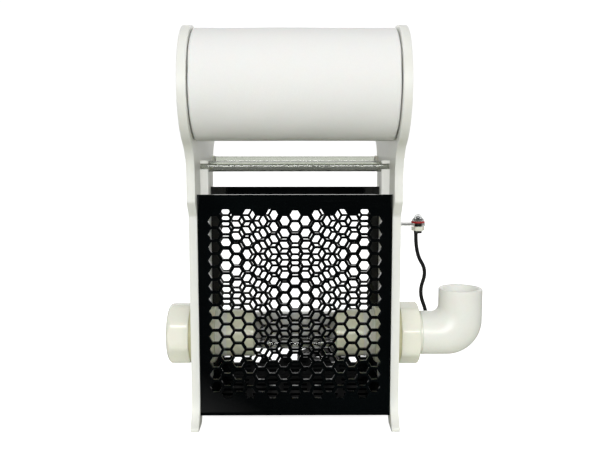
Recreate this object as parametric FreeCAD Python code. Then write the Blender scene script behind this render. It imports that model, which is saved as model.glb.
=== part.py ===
import FreeCAD, Part
import math
import os
from FreeCAD import Vector as V

# Fleece roller filter for an aquarium sump: two white side plates carry a supply roll of
# fleece in front and a motor driven take-up roller behind. A black basket with honeycomb
# grilles hangs between the plates, water enters it through a union in each plate, and a
# level sensor on the right plate starts the motor. All sizes are in millimetres.
# X points right, Y points to the back, Z points up, and Z is 0 under the feet.

# Side plates
PLATE_T = 7.5
INNER_W = 175.0
LOBE_SPACING = 133.0
LOBE_RISE = 69.1
LOBE_R = 53.0
SADDLE_DROP = 21.3
NECK_DEPTH = 145.0
NECK_FILLET = 32.0
SHOULDER_TOP_Z = 209.0
SHOULDER_LOW_Z = 196.0
SHOULDER_ROUND = 4.0
FRONT_LIP = 2.5
FOOT_REACH = 13.0
FLARE_TOP_Z = 28.0
TOE_Z = 3.8
TOE_ROUND = 1.5
FOOT_LENGTH = 23.5
ARCH_Z = 8.5
ARCH_ROUND = 8.0

# Basket
SHEET_T = 3.0
BASKET_Y = -3.3
BASKET_DEPTH = 112.4
FLOOR_Z = 10.3
GRILLE_H = 201.7
GROOVE_DEPTH = 2.85
GROOVE_GAP = 0.15
HEX_COLUMN_PITCH = 10.392
HEX_ROW_PITCH = 11.82
HEX_ACROSS = 9.5
HEX_COLUMNS = 15
HEX_ROWS = 15
HEX_TOP_MARGIN = 18.0
SLOT_COLUMNS = 5
SLOT_ROWS = 6
SLOT_L = 24.0
SLOT_W = 7.0
FLOOR_BORDER = 12.0

# Rails, guide rods and brace
RAIL_T = 7.5
RAIL_DEPTH = 10.0
RAIL_SETBACK = 25.0
RAIL_LOW_Z = 108.0
RAIL_TOP_LAND = 0.3
RAIL_ROUND = 1.0
RAIL_SCREW_IN = 20.0
RAIL_SCREW_DROP = 30.0
ROD_R = 5.0
ROD_Z = 239.2
SPIGOT_R = 2.5
RUN_GAP = 0.05
END_GAP = 0.3
REAR_ROD_Y = 65.5
REAR_ROD_RISE = 2.1
BUSH_FLANGE_R = 5.5
BUSH_FLANGE_T = 3.7
BUSH_R = 4.0
BUSH_SEAT = 4.5
BUSH_CHAMFER = 0.8
TIE_ROD_Y = 37.5
TIE_ROD_Z = 52.0
TIE_ROD_R = 5.3
BRACE_T = 8.0
BRACE_H = 35.4
BRACE_LOW_Z = 43.0
BRACE_GAP = 7.6

# Fasteners
SCREW_R = 2.0
SCREW_HEAD_R = 3.6
SCREW_HEAD_H = 2.2
SCREW_LENGTH = 12.0
HOLE_GAP = 0.1

# Supply roll
SUPPLY_RISE = 2.4
FLEECE_R = 49.0
FLEECE_CHAMFER = 1.2
ROLL_END_GAP = 1.2
CORE_R = 20.0
CORE_WALL = 2.0
HUB_LENGTH = 18.0
SPINDLE_R = 6.0
SPINDLE_GAP = 0.1
NOSE = 3.0
KNOB_R = 15.0
KNOB_T = 6.0
KNOB_GROOVES = 8
KNOB_GROOVE_R = 1.5
KNOB_CHAMFER = 1.2

# Take-up roller and its motor
TAKE_UP_R = 16.0
TAKE_UP_WALL = 2.0
TAKE_UP_END_GAP = 1.0
FLANGE_R = 22.0
FLANGE_T = 2.5
SHAFT_R = 3.0
SHAFT_FLAT = 2.5
PIN_R = 4.0
PIN_ENTRY = 16.0
PIN_KNOB_R = 10.0
GEARBOX_Y = 46.0
GEARBOX_Z = 32.0
GEARBOX_X = 23.0
GEARBOX_COVER_T = 2.0
GEARBOX_ROUND = 4.0
GEARBOX_SCREW_Y = 33.0
GEARBOX_SCREW_Z = 18.0
BOSS_R = 7.0
MOTOR_R = 12.2
MOTOR_FLAT = 10.0
MOTOR_L = 26.5
MOTOR_DROP = 3.5
TERMINAL_L = 3.0
TERMINAL_SPAN = 12.0

# Unions
UNION_Z = 74.0
PIPE_R = 22.75
PIPE_BORE_R = 18.0
PIPE_REACH = 47.5
HOLE_R = 23.0
THREAD_R = 25.0
COLLAR_R = 29.0
COLLAR_T = 1.8
GASKET_T = 1.2
LOCK_NUT_ACROSS = 54.0
LOCK_NUT_T = 10.0
LOCK_NUT_CHAMFER = 2.0
NECK_LENGTH = 13.0
NUT_ACROSS = 57.0
NUT_LENGTH = 22.1
NUT_LIP = 3.6
NUT_ROUND = 3.5
ROUND_STEPS = 3
CAP_LENGTH = 25.7
CAP_ROUND = 8.0
CAP_TURN = 22.5
SEAL_T = 3.2
RING_IN_R = 19.5
RING_OUT_R = 22.5
RING_T = 2.4

# Elbow and its tail
TAIL_BORE_R = 14.0
TAIL_R = 16.7
TAIL_NECK_R = 20.7
TAIL_FLANGE_R = 24.7
ELBOW_GAP = 3.0
ELBOW_R = 21.3
ELBOW_BEND_R = 13.0
ELBOW_REACH = 39.3
ELBOW_RISE = 44.5
SOCKET_R = 17.0
SOCKET_L = 24.0
ELBOW_LIP = 0.8

# Level sensor
SENSOR_REACH = 29.5
SENSOR_Y = 26.5
ARM_Z = 176.5
ARM_T = 3.4
ARM_W = 14.0
ARM_FOOT_T = 4.0
ARM_FOOT_H = 26.0
ARM_SCREW_SPAN = 12.0
STUD_R = 4.0
SENSOR_GASKET_R = 6.8
SENSOR_GASKET_T = 1.6
SENSOR_COLLAR_R = 5.0
SENSOR_COLLAR_T = 1.5
DOME_R = 4.1
DOME_H = 6.0
DOME_STEPS = 4
SENSOR_NUT_ACROSS = 11.4
SENSOR_NUT_T = 4.5
GLAND_R = 4.1
GLAND_H = 2.7

# Sensor cable, its coil and its plug. The route's middle points are chosen by hand: down
# behind the elbow, over the floor and round to the coil behind the filter.
CABLE_R = 1.9
CABLE_SIDES = 6
CABLE_OFFSET = 1.9
FLOOR_GAP = 0.3
COIL_X = 33.0
COIL_Y = 145.5
COIL_R = 29.2
COIL_HALF_TURNS = 8
COIL_SPACE = 0.5
TAIL_LENGTH = 24.0
PLUG_R = 6.5
PLUG_BOOT_R = 3.4
PLUG_BOOT_L = 6.0
PLUG_L = 19.0
FERRULE_R = 5.6
FERRULE_L = 9.0
FERRULE_CHAMFER = 0.8
ROUTE = [
    (122.6, 26.5, 148.6), (134.6, 26.5, 130.6), (126.6, 26.5, 108.5), (136.2, 28.0, 85.0),
    (134.0, 33.5, 64.0), (129.0, 37.5, 52.0), (120.0, 43.0, 45.0), (111.5, 50.0, 38.0),
    (106.0, 60.0, 27.0), (104.0, 73.0, 14.0), (102.0, 87.0, 5.5), (96.0, 100.0, 2.2),
    (84.0, 109.0, 2.2), (68.5, 115.0, 2.2), (52.5, 116.3, 2.2),
]

# Places that follow from the sizes above
INNER_X = INNER_W / 2
OUTER_X = INNER_X + PLATE_T
FRONT_Y = BASKET_Y - BASKET_DEPTH / 2
BACK_Y = BASKET_Y + BASKET_DEPTH / 2
GRILLE_Z = FLOOR_Z + SHEET_T
GRILLE_TOP_Z = GRILLE_Z + GRILLE_H
PANEL_X = INNER_X + GROOVE_DEPTH - GROOVE_GAP
LOBE_Y = LOBE_SPACING / 2
LOBE_Z = ROD_Z + LOBE_RISE
SADDLE_Z = LOBE_Z - SADDLE_DROP
REAR_ROD_Z = ROD_Z + REAR_ROD_RISE
NECK_Y = NECK_DEPTH / 2
SUPPLY_Z = LOBE_Z + SUPPLY_RISE
ROLL_X = INNER_X - ROLL_END_GAP
TAKE_UP_X = INNER_X - TAKE_UP_END_GAP
RAIL_X = INNER_X - RAIL_T
RAIL_Y = FRONT_Y + RAIL_SETBACK
ROD_Y = RAIL_Y + ROD_R
BRACE_Y = BACK_Y + BRACE_GAP
COLLAR_X = OUTER_X + GASKET_T
NUT_X = COLLAR_X + COLLAR_T + END_GAP
NUT_END_X = NUT_X + NUT_LENGTH
NECK_END_X = COLLAR_X + COLLAR_T + NECK_LENGTH
TAIL_X = NECK_END_X + END_GAP
ELBOW_X = NUT_END_X + ELBOW_GAP
ELBOW_AXIS_X = ELBOW_X + ELBOW_REACH
ELBOW_TOP_Z = UNION_Z + ELBOW_RISE
SENSOR_X = OUTER_X + SENSOR_REACH
GEAR_MID_X = OUTER_X + GEARBOX_X / 2
MOTOR_Y = LOBE_Y + GEARBOX_Y / 2
MIDDLE_X = (ELBOW_AXIS_X + ELBOW_R - NUT_X - CAP_LENGTH) / 2


# Basic solids
def box(x0, x1, y0, y1, z0, z1):
    return Part.makeBox(x1 - x0, y1 - y0, z1 - z0, V(x0, y0, z0))


def rod_x(r, x0, x1, y, z):
    return Part.makeCylinder(r, x1 - x0, V(x0, y, z), V(1, 0, 0))


def rod_y(r, y0, y1, x, z):
    return Part.makeCylinder(r, y1 - y0, V(x, y0, z), V(0, 1, 0))


def rod_z(r, z0, z1, x, y):
    return Part.makeCylinder(r, z1 - z0, V(x, y, z0), V(0, 0, 1))


def turned_x(profile, y, z):
    """A solid turned about a line along X, from (x, radius) corners."""
    corners = [V(x, y, z + r) for x, r in profile]
    face = Part.Face(Part.makePolygon(corners + corners[:1]))
    return face.revolve(V(0, y, z), V(1, 0, 0), 360)


def ring_x(r_in, r_out, x0, x1, y, z):
    return rod_x(r_out, x0, x1, y, z).cut(rod_x(r_in, x0 - 1, x1 + 1, y, z))


def prism_x(wire, x0, x1):
    face = Part.Face(wire)
    face.translate(V(x0, 0, 0))
    return face.extrude(V(x1 - x0, 0, 0))


def regular_polygon(sides, across, middle, u, v, turn):
    """A closed regular polygon in the plane of u and v, with a flat on the u side."""
    r = across / 2 / math.cos(math.pi / sides)
    points = []
    for i in range(sides + 1):
        a = turn + math.pi / sides * (2 * i + 1)
        points.append(middle + u * (r * math.cos(a)) + v * (r * math.sin(a)))
    return Part.makePolygon(points)


def mirrored(shape):
    return shape.mirror(V(0, 0, 0), V(1, 0, 0))


def edges_at_x(shape, x):
    """The edges of a shape that lie in the plane at x."""
    found = []
    for edge in shape.Edges:
        if abs(edge.BoundBox.XMin - x) < 1e-4 and abs(edge.BoundBox.XMax - x) < 1e-4:
            found.append(edge)
    return found


def edges_along_x(shape, y, z):
    """The edges of a shape that run along X through (y, z)."""
    found = []
    for edge in shape.Edges:
        b = edge.BoundBox
        if b.YLength < 1e-4 and b.ZLength < 1e-4 and abs(b.YMin - y) < 1e-3 and abs(b.ZMin - z) < 1e-3:
            found.append(edge)
    return found


def line_yz(a, b):
    return Part.LineSegment(V(0, *a), V(0, *b)).toShape()


def arc_yz(middle, a, b, turn):
    """The arc about middle from a to b, counterclockwise in the YZ plane if turn is 1."""
    start = math.atan2(a[1] - middle[1], a[0] - middle[0])
    stop = math.atan2(b[1] - middle[1], b[0] - middle[0])
    while (stop - start) * turn < 0:
        stop += 2 * math.pi * turn
    r = math.hypot(a[0] - middle[0], a[1] - middle[1])
    half = (start + stop) / 2
    top = (middle[0] + r * math.cos(half), middle[1] + r * math.sin(half))
    return Part.Arc(V(0, *a), V(0, *top), V(0, *b)).toShape()


# Side plates
def foot_points():
    """Where the front edge and the front toe stand."""
    edge = FRONT_Y - FRONT_LIP
    toe = edge - FOOT_REACH
    return edge, toe


def upper_points():
    """Tangent points of the neck's fillet, the lobe and the saddle on the front half."""
    reach = LOBE_R + NECK_FILLET
    across = NECK_Y + NECK_FILLET - LOBE_Y
    drop = math.sqrt(reach ** 2 - across ** 2)
    fillet = (-NECK_Y - NECK_FILLET, LOBE_Z - drop)
    on_lobe = (-LOBE_Y - across * LOBE_R / reach, LOBE_Z - drop * LOBE_R / reach)
    dip = LOBE_Z - SADDLE_Z
    r = (dip ** 2 + LOBE_Y ** 2 - LOBE_R ** 2) / (2 * (LOBE_R + dip))
    saddle = (0.0, SADDLE_Z + r)
    share = LOBE_R / (LOBE_R + r)
    on_saddle = (-LOBE_Y + LOBE_Y * share, LOBE_Z + (saddle[1] - LOBE_Z) * share)
    return fillet, on_lobe, saddle, on_saddle


def flip(point):
    return (-point[0], point[1])


def plate_top_edges():
    """The outline from the front shoulder over both lobes to the rear edge."""
    fillet, on_lobe, saddle, on_saddle = upper_points()
    neck = (-NECK_Y, fillet[1])
    lobe = (-LOBE_Y, LOBE_Z)
    return [
        line_yz((-NECK_Y, SHOULDER_TOP_Z), neck),
        arc_yz(fillet, neck, on_lobe, 1),
        arc_yz(lobe, on_lobe, on_saddle, -1),
        arc_yz(saddle, on_saddle, flip(on_saddle), 1),
        arc_yz(flip(lobe), flip(on_saddle), flip(on_lobe), -1),
        arc_yz(flip(fillet), flip(on_lobe), flip(neck), 1),
        line_yz(flip(neck), (NECK_Y, FLARE_TOP_Z)),
    ]


def plate_bottom_edges():
    """The outline from the rear foot under the arch and up the front edge."""
    edge, toe = foot_points()
    heel = NECK_Y + FOOT_REACH
    rise = FLARE_TOP_Z - TOE_Z
    r = (rise ** 2 + FOOT_REACH ** 2) / (2 * FOOT_REACH)
    corners = [
        (heel, TOE_Z), (heel, 0), (heel - FOOT_LENGTH, 0), (heel - FOOT_LENGTH - ARCH_Z, ARCH_Z),
        (toe + FOOT_LENGTH + ARCH_Z, ARCH_Z), (toe + FOOT_LENGTH, 0), (toe, 0), (toe, TOE_Z),
    ]
    edges = [arc_yz((NECK_Y + r, FLARE_TOP_Z), (NECK_Y, FLARE_TOP_Z), corners[0], 1)]
    for a, b in zip(corners, corners[1:]):
        edges.append(line_yz(a, b))
    edges.append(arc_yz((edge - r, FLARE_TOP_Z), corners[-1], (edge, FLARE_TOP_Z), 1))
    edges.append(line_yz((edge, FLARE_TOP_Z), (edge, SHOULDER_LOW_Z)))
    edges.append(line_yz((edge, SHOULDER_LOW_Z), (-NECK_Y, SHOULDER_TOP_Z)))
    return edges


def plate_blank():
    """The right plate without its holes."""
    solid = prism_x(Part.Wire(plate_top_edges() + plate_bottom_edges()), INNER_X, OUTER_X)
    edge, toe = foot_points()
    heel = NECK_Y + FOOT_REACH
    shoulder = edges_along_x(solid, edge, SHOULDER_LOW_Z) + edges_along_x(solid, -NECK_Y, SHOULDER_TOP_Z)
    solid = solid.makeFillet(SHOULDER_ROUND, shoulder)
    toes = edges_along_x(solid, toe, 0) + edges_along_x(solid, heel, 0)
    solid = solid.makeFillet(TOE_ROUND, toes)
    arch = edges_along_x(solid, toe + FOOT_LENGTH + ARCH_Z, ARCH_Z)
    arch += edges_along_x(solid, heel - FOOT_LENGTH - ARCH_Z, ARCH_Z)
    return solid.makeFillet(ARCH_ROUND, arch)


def plate_grooves():
    """The grooves in the inner face that hold both grilles and the floor."""
    side = INNER_X + GROOVE_DEPTH
    gap = GROOVE_GAP
    cuts = [box(INNER_X - 1, side, FRONT_Y - gap, BACK_Y + gap, FLOOR_Z - gap, GRILLE_Z + gap)]
    for y in (FRONT_Y, BACK_Y - SHEET_T):
        cuts.append(box(INNER_X - 1, side, y - gap, y + SHEET_T + gap, FLOOR_Z, GRILLE_TOP_Z + gap))
    return cuts


def rail_screw_places():
    y = RAIL_Y + RAIL_DEPTH / 2
    return [(y, RAIL_LOW_Z + RAIL_SCREW_IN), (y, ROD_Z - RAIL_SCREW_DROP)]


def brace_screw_places():
    y = BRACE_Y + BRACE_T / 2
    return [(y, BRACE_LOW_Z + BRACE_H / 4), (y, BRACE_LOW_Z + BRACE_H * 3 / 4)]


def arm_screw_places():
    z = ARM_Z + ARM_T - ARM_FOOT_H + SCREW_HEAD_R + 2
    return [(SENSOR_Y, z), (SENSOR_Y, z + ARM_SCREW_SPAN)]


def gearbox_screw_places():
    half_y = GEARBOX_SCREW_Y / 2
    half_z = GEARBOX_SCREW_Z / 2
    return [(LOBE_Y + a * half_y, LOBE_Z + b * half_z) for a in (-1, 1) for b in (-1, 1)]


def side_plate(left):
    """One side plate, modelled on the right."""
    low, high = INNER_X - 1, OUTER_X + 1
    cuts = plate_grooves()
    cuts.append(rod_x(HOLE_R, low, high, BASKET_Y, UNION_Z))
    cuts.append(rod_x(SPINDLE_R + SPINDLE_GAP, low, high, -LOBE_Y, SUPPLY_Z))
    cuts.append(rod_x(BUSH_R, low, INNER_X + BUSH_SEAT, REAR_ROD_Y, REAR_ROD_Z))
    places = rail_screw_places() + brace_screw_places() + [(TIE_ROD_Y, TIE_ROD_Z)]
    if left:
        cuts.append(rod_x(BOSS_R + HOLE_GAP, low, high, LOBE_Y, LOBE_Z))
        places += gearbox_screw_places()
        for y, z in gearbox_screw_places():
            cuts.append(rod_x(SCREW_HEAD_R + HOLE_GAP, low, INNER_X + SCREW_HEAD_H, y, z))
    else:
        cuts.append(rod_x(PIN_R + HOLE_GAP, low, high, LOBE_Y, LOBE_Z))
        places += arm_screw_places()
    for y, z in places:
        cuts.append(rod_x(SCREW_R + HOLE_GAP, low, high, y, z))
    solid = plate_blank().cut(cuts)
    return mirrored(solid) if left else solid


# Basket
def grille(y):
    """A sheet with a honeycomb of holes, its front face at y."""
    corners = [V(-PANEL_X, y, GRILLE_Z), V(PANEL_X, y, GRILLE_Z)]
    corners += [V(PANEL_X, y, GRILLE_TOP_Z), V(-PANEL_X, y, GRILLE_TOP_Z)]
    wires = [Part.makePolygon(corners + corners[:1])]
    middle = HEX_COLUMNS // 2
    for i in range(-middle, middle + 1):
        odd = i % 2
        for j in range(HEX_ROWS - odd):
            z = GRILLE_TOP_Z - HEX_TOP_MARGIN - HEX_ROW_PITCH * (j + odd / 2)
            centre = V(i * HEX_COLUMN_PITCH, y, z)
            wires.append(regular_polygon(6, HEX_ACROSS, centre, V(0, 0, 1), V(1, 0, 0), 0))
    face = Part.makeFace(wires, "Part::FaceMakerBullseye")
    return face.extrude(V(0, SHEET_T, 0))


def basket_floor():
    """The floor sheet with rows of slots."""
    solid = box(-PANEL_X, PANEL_X, FRONT_Y, BACK_Y, FLOOR_Z, GRILLE_Z)
    step_x = (INNER_W - 2 * FLOOR_BORDER) / SLOT_COLUMNS
    step_y = (BASKET_DEPTH - 2 * FLOOR_BORDER) / SLOT_ROWS
    cuts = []
    for i in range(SLOT_COLUMNS):
        x = step_x * (i + 0.5 - SLOT_COLUMNS / 2)
        for j in range(SLOT_ROWS):
            y = BASKET_Y + step_y * (j + 0.5 - SLOT_ROWS / 2)
            cuts.append(box(x - SLOT_L / 2, x + SLOT_L / 2, y - SLOT_W / 2, y + SLOT_W / 2,
                            FLOOR_Z - 1, GRILLE_Z + 1))
    return solid.cut(cuts)


# Rails, rods and brace
def guide_rail():
    """The right rail, with an open slot in its front edge for the rod's spigot."""
    top = ROD_Z + ROD_R + RAIL_TOP_LAND
    solid = box(RAIL_X, INNER_X, RAIL_Y, RAIL_Y + RAIL_DEPTH, RAIL_LOW_Z, top)
    upright = [e for e in edges_at_x(solid, RAIL_X) if e.BoundBox.ZLength > 1]
    solid = solid.makeFillet(RAIL_ROUND, upright)
    r = SPIGOT_R + RUN_GAP
    cuts = [rod_x(r, RAIL_X - 1, INNER_X + 1, ROD_Y, ROD_Z)]
    cuts.append(box(RAIL_X - 1, INNER_X + 1, RAIL_Y - 1, ROD_Y, ROD_Z - r, ROD_Z + r))
    for y, z in rail_screw_places():
        cuts.append(rod_x(SCREW_R + HOLE_GAP, OUTER_X - SCREW_LENGTH - END_GAP, INNER_X + 1, y, z))
    return solid.cut(cuts)


def front_rod():
    body = RAIL_X - END_GAP
    end = INNER_X - END_GAP
    solid = rod_x(ROD_R, -body, body, ROD_Y, ROD_Z)
    return solid.fuse(rod_x(SPIGOT_R, -end, end, ROD_Y, ROD_Z)).removeSplitter()


def rear_rod():
    body = INNER_X - BUSH_FLANGE_T - END_GAP
    end = INNER_X + BUSH_SEAT - END_GAP
    solid = rod_x(ROD_R, -body, body, REAR_ROD_Y, REAR_ROD_Z)
    return solid.fuse(rod_x(SPIGOT_R, -end, end, REAR_ROD_Y, REAR_ROD_Z)).removeSplitter()


def rod_bush():
    """The right flanged bush, pressed into its plate."""
    r = SPIGOT_R + RUN_GAP
    x0 = INNER_X - BUSH_FLANGE_T
    x1 = INNER_X + BUSH_SEAT
    profile = [
        (x0, r), (x0, BUSH_FLANGE_R - BUSH_CHAMFER), (x0 + BUSH_CHAMFER, BUSH_FLANGE_R),
        (INNER_X, BUSH_FLANGE_R), (INNER_X, BUSH_R), (x1, BUSH_R), (x1, r),
    ]
    return turned_x(profile, REAR_ROD_Y, REAR_ROD_Z)


def with_end_holes(solid, places):
    """A bar between the plates with a screw hole in each end at each place."""
    depth = OUTER_X - SCREW_LENGTH - END_GAP
    cuts = []
    for y, z in places:
        cuts.append(rod_x(SCREW_R + HOLE_GAP, depth, INNER_X + 1, y, z))
        cuts.append(rod_x(SCREW_R + HOLE_GAP, -INNER_X - 1, -depth, y, z))
    return solid.cut(cuts)


def tie_rod():
    bar = rod_x(TIE_ROD_R, -INNER_X, INNER_X, TIE_ROD_Y, TIE_ROD_Z)
    return with_end_holes(bar, [(TIE_ROD_Y, TIE_ROD_Z)])


def rear_brace():
    bar = box(-INNER_X, INNER_X, BRACE_Y, BRACE_Y + BRACE_T, BRACE_LOW_Z, BRACE_LOW_Z + BRACE_H)
    return with_end_holes(bar, brace_screw_places())


# Fasteners
def screw_x(y, z, seat, tip):
    """A screw along X, its head's underside at seat and its end at tip."""
    out = 1 if seat > tip else -1
    low, high = sorted((seat, tip))
    a, b = sorted((seat, seat + out * SCREW_HEAD_H))
    shank = rod_x(SCREW_R, low, high, y, z)
    return shank.fuse(rod_x(SCREW_HEAD_R, a, b, y, z)).removeSplitter()


def plate_screws(places):
    """Screws through both side plates at each place."""
    solids = []
    for y, z in places:
        solids.append(screw_x(y, z, OUTER_X, OUTER_X - SCREW_LENGTH))
        solids.append(screw_x(y, z, -OUTER_X, -OUTER_X + SCREW_LENGTH))
    return Part.makeCompound(solids)


def arm_screws():
    seat = OUTER_X + ARM_FOOT_T
    tip = seat - SCREW_LENGTH + 3 * END_GAP
    return Part.makeCompound([screw_x(y, z, seat, tip) for y, z in arm_screw_places()])


def gearbox_screws():
    seat = -INNER_X - SCREW_HEAD_H
    tip = seat - SCREW_LENGTH
    return Part.makeCompound([screw_x(y, z, seat, tip) for y, z in gearbox_screw_places()])


# Supply roll
def fleece_roll():
    solid = rod_x(FLEECE_R, -ROLL_X, ROLL_X, -LOBE_Y, SUPPLY_Z)
    rims = edges_at_x(solid, ROLL_X) + edges_at_x(solid, -ROLL_X)
    solid = solid.makeChamfer(FLEECE_CHAMFER, rims)
    return solid.cut(rod_x(CORE_R + RUN_GAP, -ROLL_X - 1, ROLL_X + 1, -LOBE_Y, SUPPLY_Z))


def supply_core():
    return ring_x(CORE_R - CORE_WALL, CORE_R, -ROLL_X, ROLL_X, -LOBE_Y, SUPPLY_Z)


def plug_profile(end, length, radius, bore):
    """The section of a plug whose outer face is at end, with an entry chamfer inside."""
    start = end - length
    return [(start, bore), (start, radius - 1), (start + 1, radius), (end, radius), (end, bore)]


def supply_hub():
    """The right plug of the supply roll, which turns on the spindle."""
    radius = CORE_R - CORE_WALL - RUN_GAP
    return turned_x(plug_profile(ROLL_X, HUB_LENGTH, radius, SPINDLE_R + RUN_GAP), -LOBE_Y, SUPPLY_Z)


def supply_spindle():
    """The rod that the supply roll turns on, with a tapered nose at its right end."""
    profile = [
        (-OUTER_X, 0), (-OUTER_X, SPINDLE_R), (OUTER_X, SPINDLE_R),
        (OUTER_X + NOSE, SPINDLE_R - NOSE / 2), (OUTER_X + NOSE, 0),
    ]
    return turned_x(profile, -LOBE_Y, SUPPLY_Z)


def grip_knob(seat, radius, y, z, out):
    """A round knob with finger grooves, seated against a side plate."""
    end = seat + out * KNOB_T
    a, b = sorted((seat, end))
    solid = rod_x(radius, a, b, y, z)
    solid = solid.makeChamfer(KNOB_CHAMFER, edges_at_x(solid, end))
    cuts = []
    for i in range(KNOB_GROOVES):
        t = 2 * math.pi * i / KNOB_GROOVES
        gy = y + radius * math.cos(t)
        gz = z + radius * math.sin(t)
        cuts.append(rod_x(KNOB_GROOVE_R, a - 1, b + 1, gy, gz))
    return solid.cut(cuts)


# Take-up roller
def take_up_core():
    end = TAKE_UP_X - FLANGE_T
    return ring_x(TAKE_UP_R - TAKE_UP_WALL, TAKE_UP_R, -end, end, LOBE_Y, LOBE_Z)


def take_up_plug(bore):
    """The right end plug of the take-up core, with its flange."""
    end = TAKE_UP_X - FLANGE_T
    radius = TAKE_UP_R - TAKE_UP_WALL - RUN_GAP
    profile = plug_profile(end, HUB_LENGTH, radius, bore)[:-1]
    profile += [(end, FLANGE_R), (TAKE_UP_X, FLANGE_R), (TAKE_UP_X, bore)]
    return turned_x(profile, LOBE_Y, LOBE_Z)


def flatted_rod(r, flat, x0, x1):
    """A rod along the take-up axis with one flat."""
    keep = box(x0, x1, LOBE_Y - r, LOBE_Y + r, LOBE_Z - r, LOBE_Z + flat)
    return rod_x(r, x0, x1, LOBE_Y, LOBE_Z).common(keep)


def drive_hub():
    """The left end plug, with the flatted bore that the motor turns."""
    inner = -TAKE_UP_X + FLANGE_T + HUB_LENGTH
    bore = flatted_rod(SHAFT_R + RUN_GAP, SHAFT_FLAT + RUN_GAP, -TAKE_UP_X - 1, inner + 1)
    return mirrored(take_up_plug(0)).cut(bore)


def output_shaft():
    """The motor's shaft, round in the gearbox and flatted in the drive hub."""
    inner = -TAKE_UP_X + FLANGE_T + HUB_LENGTH - END_GAP
    solid = rod_x(SHAFT_R, -GEAR_MID_X, -INNER_X, LOBE_Y, LOBE_Z)
    return solid.fuse(flatted_rod(SHAFT_R, SHAFT_FLAT, -INNER_X, inner)).removeSplitter()


def idle_pin():
    """The pin that carries the take-up roller's right end."""
    start = TAKE_UP_X - PIN_ENTRY
    profile = [(start, 0), (start, PIN_R - 1), (start + 1, PIN_R), (OUTER_X, PIN_R), (OUTER_X, 0)]
    return turned_x(profile, LOBE_Y, LOBE_Z)


# Gear motor
def gearbox_block(x0, x1):
    solid = box(x0, x1, LOBE_Y - GEARBOX_Y / 2, LOBE_Y + GEARBOX_Y / 2,
                LOBE_Z - GEARBOX_Z / 2, LOBE_Z + GEARBOX_Z / 2)
    corners = [e for e in solid.Edges if e.BoundBox.YLength < 1e-4 and e.BoundBox.ZLength < 1e-4]
    return solid.makeFillet(GEARBOX_ROUND, corners)


def gearbox_housing():
    x0 = -OUTER_X - GEARBOX_X
    solid = gearbox_block(x0, -OUTER_X)
    solid = solid.fuse(rod_x(BOSS_R, -OUTER_X, -INNER_X, LOBE_Y, LOBE_Z)).removeSplitter()
    cuts = [rod_x(SHAFT_R + RUN_GAP, -GEAR_MID_X - END_GAP, -INNER_X + 1, LOBE_Y, LOBE_Z)]
    depth = -INNER_X - SCREW_HEAD_H - SCREW_LENGTH - END_GAP
    for y, z in gearbox_screw_places():
        cuts.append(rod_x(SCREW_R + HOLE_GAP, depth, -OUTER_X + 1, y, z))
    return solid.cut(cuts)


def gearbox_cover():
    x1 = -OUTER_X - GEARBOX_X
    return gearbox_block(x1 - GEARBOX_COVER_T, x1)


def motor_can():
    """The motor's steel can, round with two flats."""
    z = LOBE_Z - MOTOR_DROP
    solid = rod_y(MOTOR_R, MOTOR_Y, MOTOR_Y + MOTOR_L, -GEAR_MID_X, z)
    flats = box(-GEAR_MID_X - MOTOR_FLAT, -GEAR_MID_X + MOTOR_FLAT, MOTOR_Y, MOTOR_Y + MOTOR_L,
                z - MOTOR_R, z + MOTOR_R)
    return solid.common(flats)


def motor_terminals():
    z = LOBE_Z - MOTOR_DROP
    y0 = MOTOR_Y + MOTOR_L
    tabs = []
    for side in (-1, 1):
        middle = z + side * TERMINAL_SPAN / 2
        tabs.append(box(-GEAR_MID_X - 1.4, -GEAR_MID_X + 1.4, y0, y0 + TERMINAL_L,
                        middle - 0.4, middle + 0.4))
    return Part.makeCompound(tabs)


# Unions
def union_body():
    """The right union: pipe inside the basket, collar and threaded neck outside."""
    start = INNER_X - PIPE_REACH
    collar_end = COLLAR_X + COLLAR_T
    profile = [
        (start, PIPE_BORE_R), (start, PIPE_R), (COLLAR_X, PIPE_R), (COLLAR_X, COLLAR_R),
        (collar_end, COLLAR_R), (collar_end, THREAD_R), (NECK_END_X, THREAD_R),
        (NECK_END_X, PIPE_BORE_R),
    ]
    return turned_x(profile, BASKET_Y, UNION_Z)


def grooved_union():
    """The right union with the groove for its seal ring."""
    start = NECK_END_X - RING_T
    groove = ring_x(RING_IN_R - RUN_GAP, RING_OUT_R + RUN_GAP, start, NECK_END_X + 1, BASKET_Y, UNION_Z)
    return union_body().cut(groove)


def octagon_x(across, x0, x1, turn):
    """An eight sided prism about the union's axis, with a flat to the front."""
    middle = V(0, BASKET_Y, UNION_Z)
    wire = regular_polygon(8, across, middle, V(0, -1, 0), V(0, 0, 1), math.radians(turn))
    return prism_x(wire, x0, x1)


def lock_nut():
    start = INNER_X - LOCK_NUT_T
    across = LOCK_NUT_ACROSS / 2
    solid = octagon_x(LOCK_NUT_ACROSS, start, INNER_X, 0)
    corner = across / math.cos(math.pi / 8) + 0.5
    profile = [
        (start, 0), (start, across), (start + LOCK_NUT_CHAMFER, corner), (INNER_X, corner), (INNER_X, 0),
    ]
    solid = solid.common(turned_x(profile, BASKET_Y, UNION_Z))
    return solid.cut(rod_x(PIPE_R + RUN_GAP, start - 1, INNER_X + 1, BASKET_Y, UNION_Z))


def nut_blank(length, rounding, turn):
    """An eight sided nut whose outer end is turned to a curve."""
    end = NUT_X + length
    corner = NUT_ACROSS / 2 / math.cos(math.pi / 8)
    profile = [(NUT_X, 0), (NUT_X, corner)]
    for i in range(ROUND_STEPS + 1):
        a = math.pi / 2 * i / ROUND_STEPS
        profile.append((end - rounding * (1 - math.sin(a)), corner - rounding * (1 - math.cos(a))))
    profile.append((end, 0))
    return octagon_x(NUT_ACROSS, NUT_X, end, turn).common(turned_x(profile, BASKET_Y, UNION_Z))


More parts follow.
